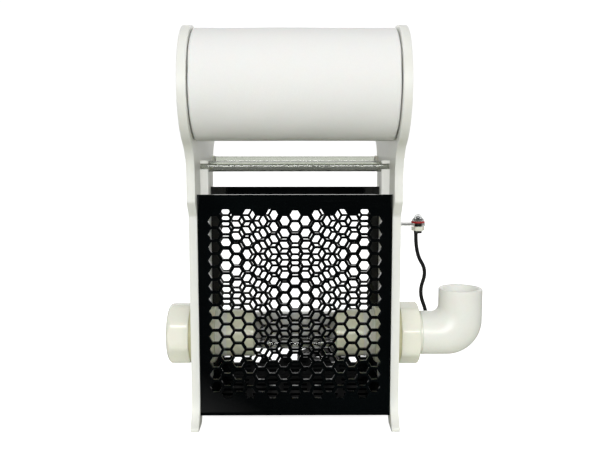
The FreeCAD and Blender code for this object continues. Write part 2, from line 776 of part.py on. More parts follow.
def union_nut():
    """The right union nut, bored for the thread and for the tail's neck."""
    bore = rod_x(THREAD_R + END_GAP, NUT_X - 1, NUT_END_X - NUT_LIP, BASKET_Y, UNION_Z)
    lip = rod_x(TAIL_NECK_R + END_GAP, NUT_X, NUT_END_X + 1, BASKET_Y, UNION_Z)
    return nut_blank(NUT_LENGTH, NUT_ROUND, 0).cut([bore, lip])


def blank_cap():
    """The left union's closed cap."""
    depth = NECK_END_X + END_GAP + SEAL_T
    bore = rod_x(THREAD_R + END_GAP, NUT_X - 1, depth, BASKET_Y, UNION_Z)
    return mirrored(nut_blank(CAP_LENGTH, CAP_ROUND, CAP_TURN).cut(bore))


def cap_seal():
    end = NECK_END_X + END_GAP
    return mirrored(rod_x(TAIL_FLANGE_R, end, end + SEAL_T, BASKET_Y, UNION_Z))


# Elbow and its tail
def union_tail():
    """The flanged pipe that the nut clamps and the elbow is glued to."""
    flange = NUT_END_X - NUT_LIP - END_GAP
    end = ELBOW_X + SOCKET_L - END_GAP
    profile = [
        (TAIL_X, TAIL_BORE_R), (TAIL_X, TAIL_FLANGE_R), (flange, TAIL_FLANGE_R), (flange, TAIL_NECK_R),
        (ELBOW_X, TAIL_NECK_R), (ELBOW_X, TAIL_R), (end, TAIL_R), (end, TAIL_BORE_R),
    ]
    return turned_x(profile, BASKET_Y, UNION_Z)


def elbow_bend(radius):
    """The quarter turn of a round bar, cut off at the line that it turns about."""
    x = ELBOW_AXIS_X - ELBOW_BEND_R
    z = UNION_Z + ELBOW_BEND_R
    disc = Part.Face(Part.Wire([Part.makeCircle(radius, V(x, BASKET_Y, UNION_Z), V(1, 0, 0))]))
    above = box(x - 1, x + 1, BASKET_Y - radius - 1, BASKET_Y + radius + 1, z, z + radius)
    return disc.cut(above).revolve(V(x, BASKET_Y, z), V(0, -1, 0), 90)


def elbow_form(radius, start, top):
    """Both limbs and the bend of an elbow, solid, with one outer radius."""
    level = rod_x(radius, start, ELBOW_AXIS_X - ELBOW_BEND_R, BASKET_Y, UNION_Z)
    upright = rod_z(radius, UNION_Z + ELBOW_BEND_R, top, ELBOW_AXIS_X, BASKET_Y)
    return level.fuse([upright, elbow_bend(radius)]).removeSplitter()


def inlet_elbow():
    solid = elbow_form(ELBOW_R, ELBOW_X, ELBOW_TOP_Z)
    rims = [e for e in solid.Edges if e.BoundBox.ZMin > ELBOW_TOP_Z - 1e-4]
    solid = solid.makeChamfer(ELBOW_LIP, rims)
    level = rod_x(TAIL_BORE_R, ELBOW_X - 1, ELBOW_AXIS_X, BASKET_Y, UNION_Z)
    upright = rod_z(TAIL_BORE_R, UNION_Z, ELBOW_TOP_Z + 1, ELBOW_AXIS_X, BASKET_Y)
    side = rod_x(SOCKET_R, ELBOW_X - 1, ELBOW_X + SOCKET_L, BASKET_Y, UNION_Z)
    upper = rod_z(SOCKET_R, ELBOW_TOP_Z - SOCKET_L, ELBOW_TOP_Z + 1, ELBOW_AXIS_X, BASKET_Y)
    return solid.cut([level, upright, side, upper])


# Level sensor
def arm_top():
    return ARM_Z + ARM_T


def sensor_arm():
    """The tab on the right plate that holds the sensor."""
    y0 = SENSOR_Y - ARM_W / 2
    y1 = SENSOR_Y + ARM_W / 2
    arm = box(OUTER_X, SENSOR_X, y0, y1, ARM_Z, arm_top())
    foot = box(OUTER_X, OUTER_X + ARM_FOOT_T, y0, y1, arm_top() - ARM_FOOT_H, arm_top())
    end = rod_z(ARM_W / 2, ARM_Z, arm_top(), SENSOR_X, SENSOR_Y)
    cuts = [rod_z(STUD_R + RUN_GAP, ARM_Z - 1, arm_top() + 1, SENSOR_X, SENSOR_Y)]
    for y, z in arm_screw_places():
        cuts.append(rod_x(SCREW_R + HOLE_GAP, OUTER_X - 1, OUTER_X + ARM_FOOT_T + 1, y, z))
    return arm.fuse([foot, end]).removeSplitter().cut(cuts)


def sensor_body():
    """The threaded stud through the tab, with the collar that holds the gasket down."""
    collar = arm_top() + SENSOR_GASKET_T
    stud = rod_z(STUD_R, ARM_Z - SENSOR_NUT_T, collar, SENSOR_X, SENSOR_Y)
    return stud.fuse(rod_z(SENSOR_COLLAR_R, collar, collar + SENSOR_COLLAR_T, SENSOR_X, SENSOR_Y))


def sensor_gasket():
    top = arm_top() + SENSOR_GASKET_T
    hole = rod_z(STUD_R + RUN_GAP, arm_top() - 1, top + 1, SENSOR_X, SENSOR_Y)
    return rod_z(SENSOR_GASKET_R, arm_top(), top, SENSOR_X, SENSOR_Y).cut(hole)


def sensor_dome():
    """The clear dome on the sensor's collar."""
    base = arm_top() + SENSOR_GASKET_T + SENSOR_COLLAR_T
    spring = base + DOME_H - DOME_R
    points = [V(SENSOR_X, SENSOR_Y, base)]
    for i in range(DOME_STEPS + 1):
        a = math.pi / 2 * i / DOME_STEPS
        points.append(V(SENSOR_X + DOME_R * math.cos(a), SENSOR_Y, spring + DOME_R * math.sin(a)))
    points.insert(1, V(SENSOR_X + DOME_R, SENSOR_Y, base))
    face = Part.Face(Part.makePolygon(points + points[:1]))
    return face.revolve(V(SENSOR_X, SENSOR_Y, base), V(0, 0, 1), 360)


def sensor_nut():
    low = ARM_Z - SENSOR_NUT_T
    middle = V(SENSOR_X, SENSOR_Y, low)
    wire = regular_polygon(6, SENSOR_NUT_ACROSS, middle, V(1, 0, 0), V(0, 1, 0), math.pi / 6)
    solid = Part.Face(wire).extrude(V(0, 0, SENSOR_NUT_T))
    return solid.cut(rod_z(STUD_R + RUN_GAP, low - 1, ARM_Z + 1, SENSOR_X, SENSOR_Y))


def sensor_gland():
    top = ARM_Z - SENSOR_NUT_T
    return rod_z(GLAND_R, top - GLAND_H, top, SENSOR_X, SENSOR_Y)


# Sensor cable
def arc_through(start, tangent, end):
    """The arc that leaves start along tangent and arrives at end."""
    chord = end - start
    along = V(chord).normalize()
    side = tangent - along * tangent.dot(along)
    half = math.acos(max(-1.0, min(1.0, tangent.dot(along))))
    top = (start + end) * 0.5 + side.normalize() * (chord.Length / 2 * math.tan(half / 2))
    return Part.Arc(start, top, end).toShape()


def tube_on(edges):
    """The cable's section, a polygon within its circle, swept along tangent edges."""
    start = edges[0].valueAt(edges[0].FirstParameter)
    along = edges[0].tangentAt(edges[0].FirstParameter)
    side = V(0, 1, 0) if abs(along.z) > 0.5 else along.cross(V(0, 0, 1))
    across = 2 * CABLE_R * math.cos(math.pi / CABLE_SIDES)
    ring = regular_polygon(CABLE_SIDES, across, start, side, along.cross(side), math.pi / 6)
    return Part.Wire(edges).makePipeShell([ring], True, False)


def route_points():
    """The cable's route from the gland to the coil."""
    gland = (SENSOR_X - CABLE_OFFSET, SENSOR_Y, ARM_Z - SENSOR_NUT_T - GLAND_H)
    coil = (COIL_X + 2 * CABLE_R, COIL_Y - COIL_R, CABLE_R + FLOOR_GAP)
    return [V(*p) for p in [gland] + ROUTE + [coil]]


def route_edges(points):
    """Straight runs joined by arcs as large as 0.45 of the shorter run allows."""
    edges = []
    radii = []
    last = points[0]
    for before, here, after in zip(points, points[1:], points[2:]):
        back = before - here
        ahead = after - here
        reach = 0.45 * min(back.Length, ahead.Length)
        start = here + V(back).normalize() * reach
        stop = here + V(ahead).normalize() * reach
        half_turn = (math.pi - back.getAngle(ahead)) / 2
        radii.append(reach / math.tan(half_turn))
        edges.append(Part.LineSegment(last, start).toShape())
        edges.append(arc_through(start, V(back).normalize() * -1, stop))
        last = stop
    edges.append(Part.LineSegment(last, points[-1]).toShape())
    return edges, radii


def half_turn(start, heading, radius, rise):
    """A half circle to the right of its heading, tilted about it by its rise."""
    inward = V(heading.y, -heading.x, 0)
    across = inward * (2 * radius) + V(0, 0, rise)
    top = start + across * 0.5 + heading * (across.Length / 2)
    end = start + across
    return Part.Arc(start, top, end).toShape(), end


def coil_edges():
    """Half turns that spiral in on the floor, climb a layer and spiral out again."""
    step = (2 * CABLE_R + COIL_SPACE) / 2
    radii = [COIL_R - step * i for i in range(COIL_HALF_TURNS)]
    turns = [(r, 0) for r in radii]
    turns.append((radii[-1] - step, 2 * step))
    turns += [(r, 0) for r in reversed(radii)]
    here = V(COIL_X, COIL_Y - COIL_R, CABLE_R + FLOOR_GAP)
    heading = V(-1, 0, 0)
    edges = [Part.LineSegment(here - heading * (2 * CABLE_R), here).toShape()]
    for radius, rise in turns:
        edge, here = half_turn(here, heading, radius, rise)
        edges.append(edge)
        heading = heading * -1
    edges.append(Part.LineSegment(here, here + heading * TAIL_LENGTH).toShape())
    return edges


def least_self_gap(edges):
    """The smallest clear space between turns, measured on points along the path."""
    points = []
    run = 0.0
    for edge in edges:
        count = max(2, int(edge.Length / 1.5))
        for i in range(count):
            at = edge.FirstParameter + (edge.LastParameter - edge.FirstParameter) * i / count
            points.append((run + edge.Length * i / count, edge.valueAt(at)))
        run += edge.Length
    best = 1e9
    for i, (s, p) in enumerate(points):
        for t, q in points[i + 1:]:
            if t - s > 10 * CABLE_R:
                best = min(best, (p - q).Length)
    return best - 2 * CABLE_R


def plug_start(edges):
    return edges[-1].valueAt(edges[-1].LastParameter)


def cable_plug(edges):
    """The plug that lies on the floor at the coil's end."""
    end = plug_start(edges)
    shoulder = end.x + PLUG_BOOT_L
    profile = [
        (end.x, 0), (end.x, PLUG_BOOT_R - 0.8), (shoulder, PLUG_BOOT_R), (shoulder, PLUG_R - 0.8),
        (shoulder + 0.8, PLUG_R), (shoulder + PLUG_L, PLUG_R), (shoulder + PLUG_L, 0),
    ]
    return turned_x(profile, end.y, end.z)


def plug_ferrule(edges):
    """The metal sleeve at the plug's end."""
    end = plug_start(edges)
    start = end.x + PLUG_BOOT_L + PLUG_L
    stop = start + FERRULE_L
    profile = [
        (start, 0), (start, FERRULE_R), (stop - FERRULE_CHAMFER, FERRULE_R),
        (stop, FERRULE_R - FERRULE_CHAMFER), (stop, 0),
    ]
    return turned_x(profile, end.y, end.z)


def print_cord(name, solid, edges):
    length = sum(edge.Length for edge in edges)
    section = CABLE_SIDES / 2 * CABLE_R ** 2 * math.sin(2 * math.pi / CABLE_SIDES)
    ratio = solid.Volume / (section * length)
    print("%s: length %.1f, volume over section times length %.4f" % (name, length, ratio))


# All pieces by name
def frame_pieces():
    rail = guide_rail()
    bush = rod_bush()
    return {
        "side_plate_left": side_plate(True), "side_plate_right": side_plate(False),
        "front_grille": grille(FRONT_Y), "rear_grille": grille(BACK_Y - SHEET_T),
        "basket_floor": basket_floor(),
        "guide_rail_left": mirrored(rail), "guide_rail_right": rail,
        "front_guide_rod": front_rod(), "rear_guide_rod": rear_rod(),
        "rod_bush_left": mirrored(bush), "rod_bush_right": bush,
        "lower_tie_rod": tie_rod(), "rear_brace": rear_brace(),
        "rail_screws": plate_screws(rail_screw_places()),
        "brace_screws": plate_screws(brace_screw_places()),
        "tie_rod_screws": plate_screws([(TIE_ROD_Y, TIE_ROD_Z)]),
    }


def union_pieces():
    body = union_body()
    gasket = ring_x(PIPE_R + RUN_GAP, COLLAR_R, OUTER_X, COLLAR_X, BASKET_Y, UNION_Z)
    seal = ring_x(RING_IN_R, RING_OUT_R, NECK_END_X - RING_T, NECK_END_X, BASKET_Y, UNION_Z)
    nut = lock_nut()
    return {
        "union_body_left": mirrored(body), "union_body_right": grooved_union(),
        "union_gasket_left": mirrored(gasket), "union_gasket_right": gasket,
        "lock_nut_left": mirrored(nut), "lock_nut_right": nut,
        "union_seal_ring": seal, "union_nut": union_nut(),
        "blank_cap": blank_cap(), "cap_seal": cap_seal(),
        "union_tail": union_tail(), "inlet_elbow": inlet_elbow(),
    }


def roll_pieces():
    hub = supply_hub()
    return {
        "fleece_roll": fleece_roll(), "supply_core": supply_core(),
        "supply_hub_left": mirrored(hub), "supply_hub_right": hub,
        "supply_spindle": supply_spindle(),
        "spindle_knob": grip_knob(-OUTER_X, KNOB_R, -LOBE_Y, SUPPLY_Z, -1),
        "take_up_core": take_up_core(), "drive_hub": drive_hub(),
        "idle_hub": take_up_plug(PIN_R + RUN_GAP),
        "output_shaft": output_shaft(), "idle_pin": idle_pin(),
        "idle_pin_knob": grip_knob(OUTER_X, PIN_KNOB_R, LOBE_Y, LOBE_Z, 1),
        "gearbox_housing": gearbox_housing(), "gearbox_cover": gearbox_cover(),
        "motor_can": motor_can(), "motor_terminals": motor_terminals(),
        "gearbox_screws": gearbox_screws(),
    }


def sensor_pieces():
    route, radii = route_edges(route_points())
    coil = coil_edges()
    cable = tube_on(route)
    loops = tube_on(coil)
    print("cable arc radii:", ", ".join("%.1f" % r for r in radii))
    print_cord("cable", cable, route)
    print_cord("coil", loops, coil)
    print("least gap of the coil to itself %.2f" % least_self_gap(coil))
    return {
        "sensor_arm": sensor_arm(), "arm_screws": arm_screws(), "sensor_body": sensor_body(),
        "sensor_gasket": sensor_gasket(), "sensor_dome": sensor_dome(), "sensor_nut": sensor_nut(),
        "sensor_gland": sensor_gland(), "sensor_cable": cable, "cable_coil": loops,
        "cable_plug": cable_plug(coil), "plug_ferrule": plug_ferrule(coil),
    }


def build():
    os.makedirs("parts", exist_ok=True)
    pieces = {}
    for group in (frame_pieces(), union_pieces(), roll_pieces(), sensor_pieces()):
        pieces.update(group)
    for name, shape in pieces.items():
        shape.translate(V(-MIDDLE_X, 0, 0))
        shape.exportStep("parts/%s.step" % name)
        state = "valid" if shape.isValid() else "NOT VALID"
        print(name, state, len(shape.Solids), round(shape.Volume, 1))


build()
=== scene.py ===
"""Looks of the fleece roller filter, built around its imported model."""

import math

import bpy
import numpy as np
from mathutils import Matrix, Vector


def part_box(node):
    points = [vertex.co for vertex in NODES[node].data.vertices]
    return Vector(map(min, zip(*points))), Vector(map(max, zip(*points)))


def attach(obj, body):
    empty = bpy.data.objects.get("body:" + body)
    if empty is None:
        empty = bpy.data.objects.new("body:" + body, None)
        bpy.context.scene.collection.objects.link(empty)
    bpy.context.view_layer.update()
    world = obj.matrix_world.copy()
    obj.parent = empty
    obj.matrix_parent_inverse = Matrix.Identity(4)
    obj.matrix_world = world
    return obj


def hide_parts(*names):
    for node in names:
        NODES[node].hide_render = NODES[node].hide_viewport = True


bl_info = {
    "name": "Fleece Roller Filter",
    "version": (1, 0, 0),
    "blender": (4, 5, 0),
    "location": "3D View > Sidebar > Filter",
    "description": "Dresses the packed model of a fleece roller filter for an aquarium sump",
    "category": "Object",
}

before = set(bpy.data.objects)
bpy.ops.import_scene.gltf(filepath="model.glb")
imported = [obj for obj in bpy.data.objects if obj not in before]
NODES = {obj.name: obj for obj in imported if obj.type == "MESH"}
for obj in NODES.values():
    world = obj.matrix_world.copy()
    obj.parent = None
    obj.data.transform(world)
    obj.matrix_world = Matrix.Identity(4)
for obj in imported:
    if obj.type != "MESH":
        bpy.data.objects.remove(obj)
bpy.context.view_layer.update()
TURN = 2 * math.pi
QUARTER = math.pi / 2


# Settings
def colour_setting(name, description, default):
    return bpy.props.FloatVectorProperty(
        name=name, description=description, default=default, size=3, min=0, max=1, subtype="COLOR"
    )


def length_setting(name, description, default):
    return bpy.props.FloatProperty(
        name=name, description=description, default=default, min=0, precision=5,
        subtype="DISTANCE", unit="LENGTH",
    )


def number_setting(name, description, default):
    return bpy.props.FloatProperty(name=name, description=description, default=default, min=0)


class SheetSettings(bpy.types.PropertyGroup):
    """Colours and gloss of the cut sheets."""

    plate: colour_setting("Plates", "White of the side plates", (0.80, 0.805, 0.765))
    rail: colour_setting("Rails", "White of the rails", (0.95, 0.955, 0.915))
    acrylic: colour_setting("Acrylic", "Black of the honeycomb sheets", (0.0009, 0.0012, 0.0014))
    plate_roughness: number_setting("Plate roughness", "Satin of the side plates", 0.42)
    acrylic_roughness: number_setting("Acrylic roughness", "Polish of the honeycomb sheets", 0.07)
    tube_wall: length_setting("Tube's wall", "Wall of the clear guide tubes", 0.0009)


class FittingSettings(bpy.types.PropertyGroup):
    """Colours and threads of the pipe fittings."""

    nut: colour_setting("Nuts", "Ivory of the union nuts", (0.84, 0.84, 0.745))
    elbow: colour_setting("Elbow", "White of the elbow", (0.82, 0.825, 0.78))
    # The gaskets' tan. On the collars beside the nuts it also paints the shade in the gaps by the
    # plates.
    gasket: colour_setting("Gasket", "Tan of the flat gaskets", (0.56, 0.54, 0.34))
    roughness: number_setting("Roughness", "Gloss of the moulded fittings", 0.24)
    pitch: length_setting("Thread pitch", "Rise of the union thread in one turn", 0.0025)
    bend: length_setting("Elbow's bend", "Radius of the bend of the elbow's middle line", 0.013)
    inner_corner: length_setting("Inner corner", "Radius inside the elbow's bend", 0.0065)
    socket: length_setting("Socket", "Radius of the elbow's two sockets", 0.017)
    socket_depth: length_setting("Socket's depth", "How far a pipe goes into a socket", 0.024)
    water_way: length_setting("Water way", "Radius of the passage between the sockets", 0.014)
    thread_bore: length_setting("Thread's bore", "Radius inside the nut and the cap", 0.0253)
    neck: length_setting("Nut's hole", "Radius of the hole that the tail leaves the nut by", 0.021)
    lip: length_setting("Nut's lip", "Thickness of the lip round that hole", 0.0036)
    cap_wall: length_setting("Cap's end", "Thickness of the blank cap's closed end", 0.0095)
    # The collars' tan paints the shade in the gaps between the plates and the nuts.
    skirt: length_setting("Collar's width", "Width of the tan collars beside the nuts", 0.0038)


class FleeceSettings(bpy.types.PropertyGroup):
    """The wound roll of filter fleece."""

    colour: colour_setting("Fleece", "White of the fleece", (0.82, 0.82, 0.81))
    layer: length_setting("Layer", "Thickness of one layer of fleece", 0.0027)
    fluff: length_setting("Fluff", "How far the fibres stand out past each end of the roll", 0.0006)
    flap: length_setting("Flap", "Step at the free end of the fleece", 0.0009)
    ripple: length_setting("Ripple", "Depth of the gaps between layers at the ends", 0.0005)
    swell: length_setting("Swell", "Unevenness of the outside", 0.00022)


class CableSettings(bpy.types.PropertyGroup):
    """The sensor's lead."""

    colour: colour_setting("Cable", "Black of the cable", (0.003, 0.003, 0.0035))
    diameter: length_setting("Diameter", "Outside of the cable", 0.0038)
    length: length_setting("Length", "Whole length from gland to plug", 1.432)


class StudioSettings(bpy.types.PropertyGroup):
    """Camera, floor and light."""

    lens: number_setting("Lens", "Focal length in millimetres", 44.8)
    distance: length_setting("Distance", "Camera in front of the frame's middle", 0.7253)
    height: length_setting("Height", "Camera above the floor", 0.2658)
    tilt: number_setting("Tilt", "Camera's tilt below the horizon, in radians", 0.1168)
    sky: number_setting("Sky", "Strength of the light all round", 0.82)
    key: number_setting("Top light", "Power of the overhead light in watts", 1.0)
    fill: number_setting("Front light", "Power of the front light in watts", 14.5)
    floor: colour_setting("Floor", "Pale floor", (0.86, 0.86, 0.86))


# Shader parts
def feed(tree, value, socket):
    """Links a node's output to a socket, or gives the socket a plain value."""
    if isinstance(value, bpy.types.NodeSocket):
        tree.links.new(value, socket)
    else:
        socket.default_value = value


def add_node(tree, kind, inputs, **settings):
    """A shader node with these settings, its inputs fed with these values or outputs."""
    node = tree.nodes.new("ShaderNode" + kind)
    for key, value in settings.items():
        setattr(node, key, value)
    for key, value in inputs.items():
        feed(tree, value, node.inputs[key])
    return node


def noise_of(tree, vector, scale, detail):
    inputs = {"Vector": vector, "Scale": scale, "Detail": detail}
    return add_node(tree, "TexNoise", inputs).outputs["Fac"]


def math_node(tree, operation, first, second, clamp=False):
    inputs = {0: first, 1: second}
    return add_node(tree, "Math", inputs, operation=operation, use_clamp=clamp).outputs[0]


def above(tree, value, level, gain):
    """How far a value is above a level, times a gain, held between 0 and 1."""
    return math_node(tree, "MULTIPLY", math_node(tree, "SUBTRACT", value, level), gain, True)


def mix_colours(tree, factor, first, second):
    inputs = {"Factor": factor, 6: first, 7: second}
    return add_node(tree, "Mix", inputs, data_type="RGBA").outputs[2]


def map_range(tree, value, start, end, low=0.0, high=1.0, smooth=False):
    """Carries a value from start..end to low..high, and holds it there past both."""
    inputs = {"Value": value, "From Min": start, "From Max": end, "To Min": low, "To Max": high}
    kind = "SMOOTHSTEP" if smooth else "LINEAR"
    return add_node(tree, "MapRange", inputs, interpolation_type=kind).outputs[0]


def shader_group(name, inputs, wire):
    """The node group of this name, built once.

    It takes a Vector and these inputs, {title: default}, where a tuple is a colour.
    wire(tree, given) makes its nodes and returns its outputs, {title: socket}.
    """
    if name in bpy.data.node_groups:
        return bpy.data.node_groups[name]
    tree = bpy.data.node_groups.new(name, "ShaderNodeTree")
    tree.interface.new_socket("Vector", in_out="INPUT", socket_type="NodeSocketVector")
    for title, default in inputs.items():
        kind = "NodeSocketColor" if isinstance(default, tuple) else "NodeSocketFloat"
        socket = tree.interface.new_socket(title, in_out="INPUT", socket_type=kind)
        socket.default_value = default
    made = wire(tree, tree.nodes.new("NodeGroupInput").outputs)
    for title, value in made.items():
        kind = "NodeSocketColor" if value.type == "RGBA" else "NodeSocketFloat"
        tree.interface.new_socket(title, in_out="OUTPUT", socket_type=kind)
    sink = tree.nodes.new("NodeGroupOutput")
    for title, value in made.items():
        tree.links.new(value, sink.inputs[title])
    return tree


def mottling_group():
    """Slow drift between two colours, as moulded and cut plastic has."""
    def wire(tree, given):
        drift = noise_of(tree, given["Vector"], given["Scale"], 4)
        share = math_node(tree, "MULTIPLY", above(tree, drift, 0.35, 3.3), given["Amount"], True)
        return {"Color": mix_colours(tree, share, given["Color"], given["Second"])}

    return shader_group("mottling", {"Color": (0.8, 0.8, 0.8, 1), "Second": (0.7, 0.7, 0.7, 1),
                                     "Scale": 30.0, "Amount": 0.5}, wire)


def grain_group():
    """Fine surface grain: a height for Bump and a roughness that varies with it."""
    def wire(tree, given):
        fine = noise_of(tree, given["Vector"], given["Scale"], 6)
        slow_scale = math_node(tree, "MULTIPLY", given["Scale"], 0.04)
        slow = noise_of(tree, given["Vector"], slow_scale, 3)
        height = math_node(tree, "ADD", math_node(tree, "MULTIPLY", fine, 0.7),
                           math_node(tree, "MULTIPLY", slow, 0.3))
        swing = math_node(tree, "MULTIPLY", math_node(tree, "SUBTRACT", slow, 0.5),
                          given["Spread"])
        rough = math_node(tree, "ADD", given["Roughness"], swing, True)
        return {"Height": height, "Roughness": rough}

    return shader_group("grain", {"Scale": 900.0, "Roughness": 0.4, "Spread": 0.1}, wire)


def dust_group():
    """Thin dust that settles in patches, thicker towards the floor."""
    def wire(tree, given):
        level = add_node(tree, "SeparateXYZ", {0: given["Vector"]}).outputs["Z"]
        low = math_node(tree, "SUBTRACT", 1.25,
                        math_node(tree, "DIVIDE", level, given["Height"]), True)
        speck = above(tree, noise_of(tree, given["Vector"], 420.0, 8), 0.5, 4.0)
        share = math_node(tree, "MULTIPLY", math_node(tree, "MULTIPLY", speck, low),
                          given["Amount"], True)
        return {"Color": mix_colours(tree, share, given["Color"], given["Dust"])}

    return shader_group("dust", {"Color": (0.5, 0.5, 0.5, 1), "Dust": (0.5, 0.48, 0.42, 1),
                                 "Amount": 0.1, "Height": 0.3}, wire)


def scratch_group():
    """Hair scratches: thin dark lines of stretched noise, in two directions."""
    def wire(tree, given):
        lines = []
        for turn in (0.45, -0.8):
            inputs = {"Vector": given["Vector"], "Rotation": (turn, turn, turn),
                      "Scale": (12, 12, 1500)}
            place = add_node(tree, "Mapping", inputs).outputs["Vector"]
            lines.append(above(tree, noise_of(tree, place, 1.0, 2), 0.66, 9.0))
        either = math_node(tree, "MAXIMUM", *lines)
        share = math_node(tree, "MULTIPLY", either, given["Amount"])
        rough = math_node(tree, "ADD", given["Roughness"], share, True)
        return {"Roughness": rough, "Height": math_node(tree, "SUBTRACT", 1.0, either)}

    return shader_group("scratches", {"Roughness": 0.1, "Amount": 0.2}, wire)


class Finish:
    """One material: a Principled BSDF with its own values, and the groups that feed it.

    Each effect is added by one method, which returns the finish, so that they can be chained.
    Scales are in waves to the metre, depths and heights in metres, amounts, strengths and the
    spread of the roughness from 0 to 1. Colours are linear.
    """

    def __init__(self, name, colour, roughness, **values):
        self.material = bpy.data.materials.new(name)
        self.material.use_nodes = True
        self.material.diffuse_color = (*colour, 1)
        self.tree = self.material.node_tree
        self.shader = self.tree.nodes["Principled BSDF"]
        values = {"Base Color": (*colour, 1), "Roughness": roughness, **values}
        for socket, value in values.items():
            self.shader.inputs[socket.replace("_", " ")].default_value = value
        self.colour, self.roughness = tuple(colour), roughness
        self.place = self.tree.nodes.new("ShaderNodeTexCoord").outputs["Object"]

    def group(self, tree, **values):
        return add_node(self.tree, "Group", {"Vector": self.place, **values}, node_tree=tree)

    def insert(self, node, title, socket):
        """Puts a node between a socket of the shader and what feeds it now."""
        socket = self.shader.inputs[socket]
        if socket.is_linked:
            self.tree.links.new(socket.links[0].from_socket, node.inputs[title])
        self.tree.links.new(node.outputs[title], socket)
        return self

    def mottle(self, second, scale=30.0, amount=0.5):
        """Drifts towards a second colour, or towards a share of its own colour."""
        if isinstance(second, float):
            second = [second * channel for channel in self.colour]
        node = self.group(mottling_group(), Color=(*self.colour, 1), Second=(*second, 1),
                          Scale=scale, Amount=amount)
        return self.insert(node, "Color", "Base Color")

    def dust(self, colour=(0.5, 0.48, 0.42), amount=0.1, height=0.3):
        """Settles dust in patches, less of it up to 1.25 times the height."""
        node = self.group(dust_group(), Color=(*self.colour, 1), Dust=(*colour, 1),
                          Amount=amount, Height=height)
        return self.insert(node, "Color", "Base Color")

    def grain(self, scale=900.0, spread=0.1, depth=0.00002, strength=0.5):
        """Roughens the face finely, as a bump of this depth and a drift of its roughness."""
        node = self.group(grain_group(), Scale=scale, Roughness=self.roughness, Spread=spread)
        self.insert(node, "Roughness", "Roughness")
        return self.bump(node.outputs["Height"], depth, strength)

    def scratches(self, amount=0.2, depth=0.000004):
        """Adds hair scratches, which are rougher and a little deeper than the face."""
        node = self.group(scratch_group(), Roughness=self.roughness, Amount=amount)
        self.insert(node, "Roughness", "Roughness")
        return self.bump(node.outputs["Height"], depth, 0.6)

    def bump(self, height, depth, strength=1.0):
        inputs = {"Strength": strength, "Distance": depth, "Height": height}
        return self.insert(add_node(self.tree, "Bump", inputs), "Normal", "Normal")

    def lines(self, scale, depth, turn=(0, 0, 0), detail=3):
        """Fine parallel marks: noise with its own scale on each turned axis, as a bump."""
        inputs = {"Vector": self.place, "Rotation": turn, "Scale": tuple(1 / s for s in scale)}
        place = add_node(self.tree, "Mapping", inputs, vector_type="TEXTURE").outputs["Vector"]
        return self.bump(noise_of(self.tree, place, 1.0, detail), depth)

    def paint(self, *names):
        """Puts the material on these CAD nodes."""
        for name in names:
            for place in NODES[name].material_slots:
                place.material = self.material


def pair(name):
    """Names of the left and the right one of a pair of CAD nodes."""
    return name + "_left", name + "_right"


# Mesh parts
def angles(count):
    """Angles of evenly spaced lines round an axis."""
    return np.arange(count) * TURN / count


def around(centre, along, radius, angle):
    """Points (x + along, y + radius cos angle, z + radius sin angle) round a level axis."""
    return np.stack(np.broadcast_arrays(
        centre[0] + along, centre[1] + radius * np.cos(angle), centre[2] + radius * np.sin(angle)
    ), -1)


def turned(profile, centre, turns=96, radius_at=None):
    """Grid of points round a level axis, one row for each (along, radius) of a profile.

    radius_at(radius, angle) may change each radius.
    """
    along, radius = np.asarray(profile, float).T[:, :, None]
    angle = angles(turns)
    if radius_at is not None:
        radius = radius_at(radius, angle)
    return around(centre, along, radius, angle)


def closed_shell(points):
    """A grid of points that closes both ways, with its quads, turned outwards.

    The quads are turned over if the volume that they enclose is negative.
    """
    rows, columns = points.shape[:2]
    i, j = np.indices((rows, columns))
    i2, j2 = (i + 1) % rows, (j + 1) % columns
    quads = np.stack([i * columns + j, i * columns + j2, i2 * columns + j2, i2 * columns + j], -1)
    quads = quads.reshape(-1, 4)
    a, b, c, d = (points.reshape(-1, 3)[quads[:, k]] for k in range(4))
    volume = np.einsum("ij,ij->", a, np.cross(b, c)) + np.einsum("ij,ij->", a, np.cross(c, d))
    return points, quads if volume > 0 else quads[:, ::-1]


def upright(profile, centre, turns=64):
    """A closed shell round an upright axis, from a closed profile of (height, radius)."""
    level = turned(profile, (0, 0, 0), turns)
    return closed_shell(level[..., [1, 2, 0]] + np.array(centre))


def run(along, radius):
    """Points (along, radius) of a profile, either of them an array or one number for all."""
    return np.column_stack(np.broadcast_arrays(along, radius))


def rounded(along, radius, soft, steps):
    """Quarter circle of radius soft from (along, radius - soft) to (along - soft, radius)."""
    bend = np.linspace(0, QUARTER, steps)
    return run(along - soft + soft * np.cos(bend), radius - soft + soft * np.sin(bend))


def merged(shells):
    """Joins (points, faces) pairs into one pair."""
    points = [points.reshape(-1, 3) for points, faces in shells]
    starts = np.cumsum([0] + [len(part) for part in points])
    faces = [faces + start for (_, faces), start in zip(shells, starts)]
    return np.concatenate(points), np.concatenate(faces)


def new_piece(name, shell, material, body):
    """A smooth mesh object at the origin, with its place in its mesh, riding on a body."""
    points, faces = shell
    mesh = bpy.data.meshes.new(name)
    mesh.from_pydata(points.reshape(-1, 3), [], faces.tolist())
    mesh.polygons.foreach_set("use_smooth", np.full(len(mesh.polygons), True))
    mesh.materials.append(material)
    mesh.update()
    piece = bpy.data.objects.new(name, mesh)
    bpy.context.scene.collection.objects.link(piece)
    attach(piece, body)
    return piece


def measured(name):
    """Middle and half size of a CAD node's box."""
    low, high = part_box(name)
    return (low + high) / 2, (high - low) / 2


def basket_middle():
    """X of the basket's middle, from which the camera and the lead are placed."""
    return measured("front_grille")[0].x


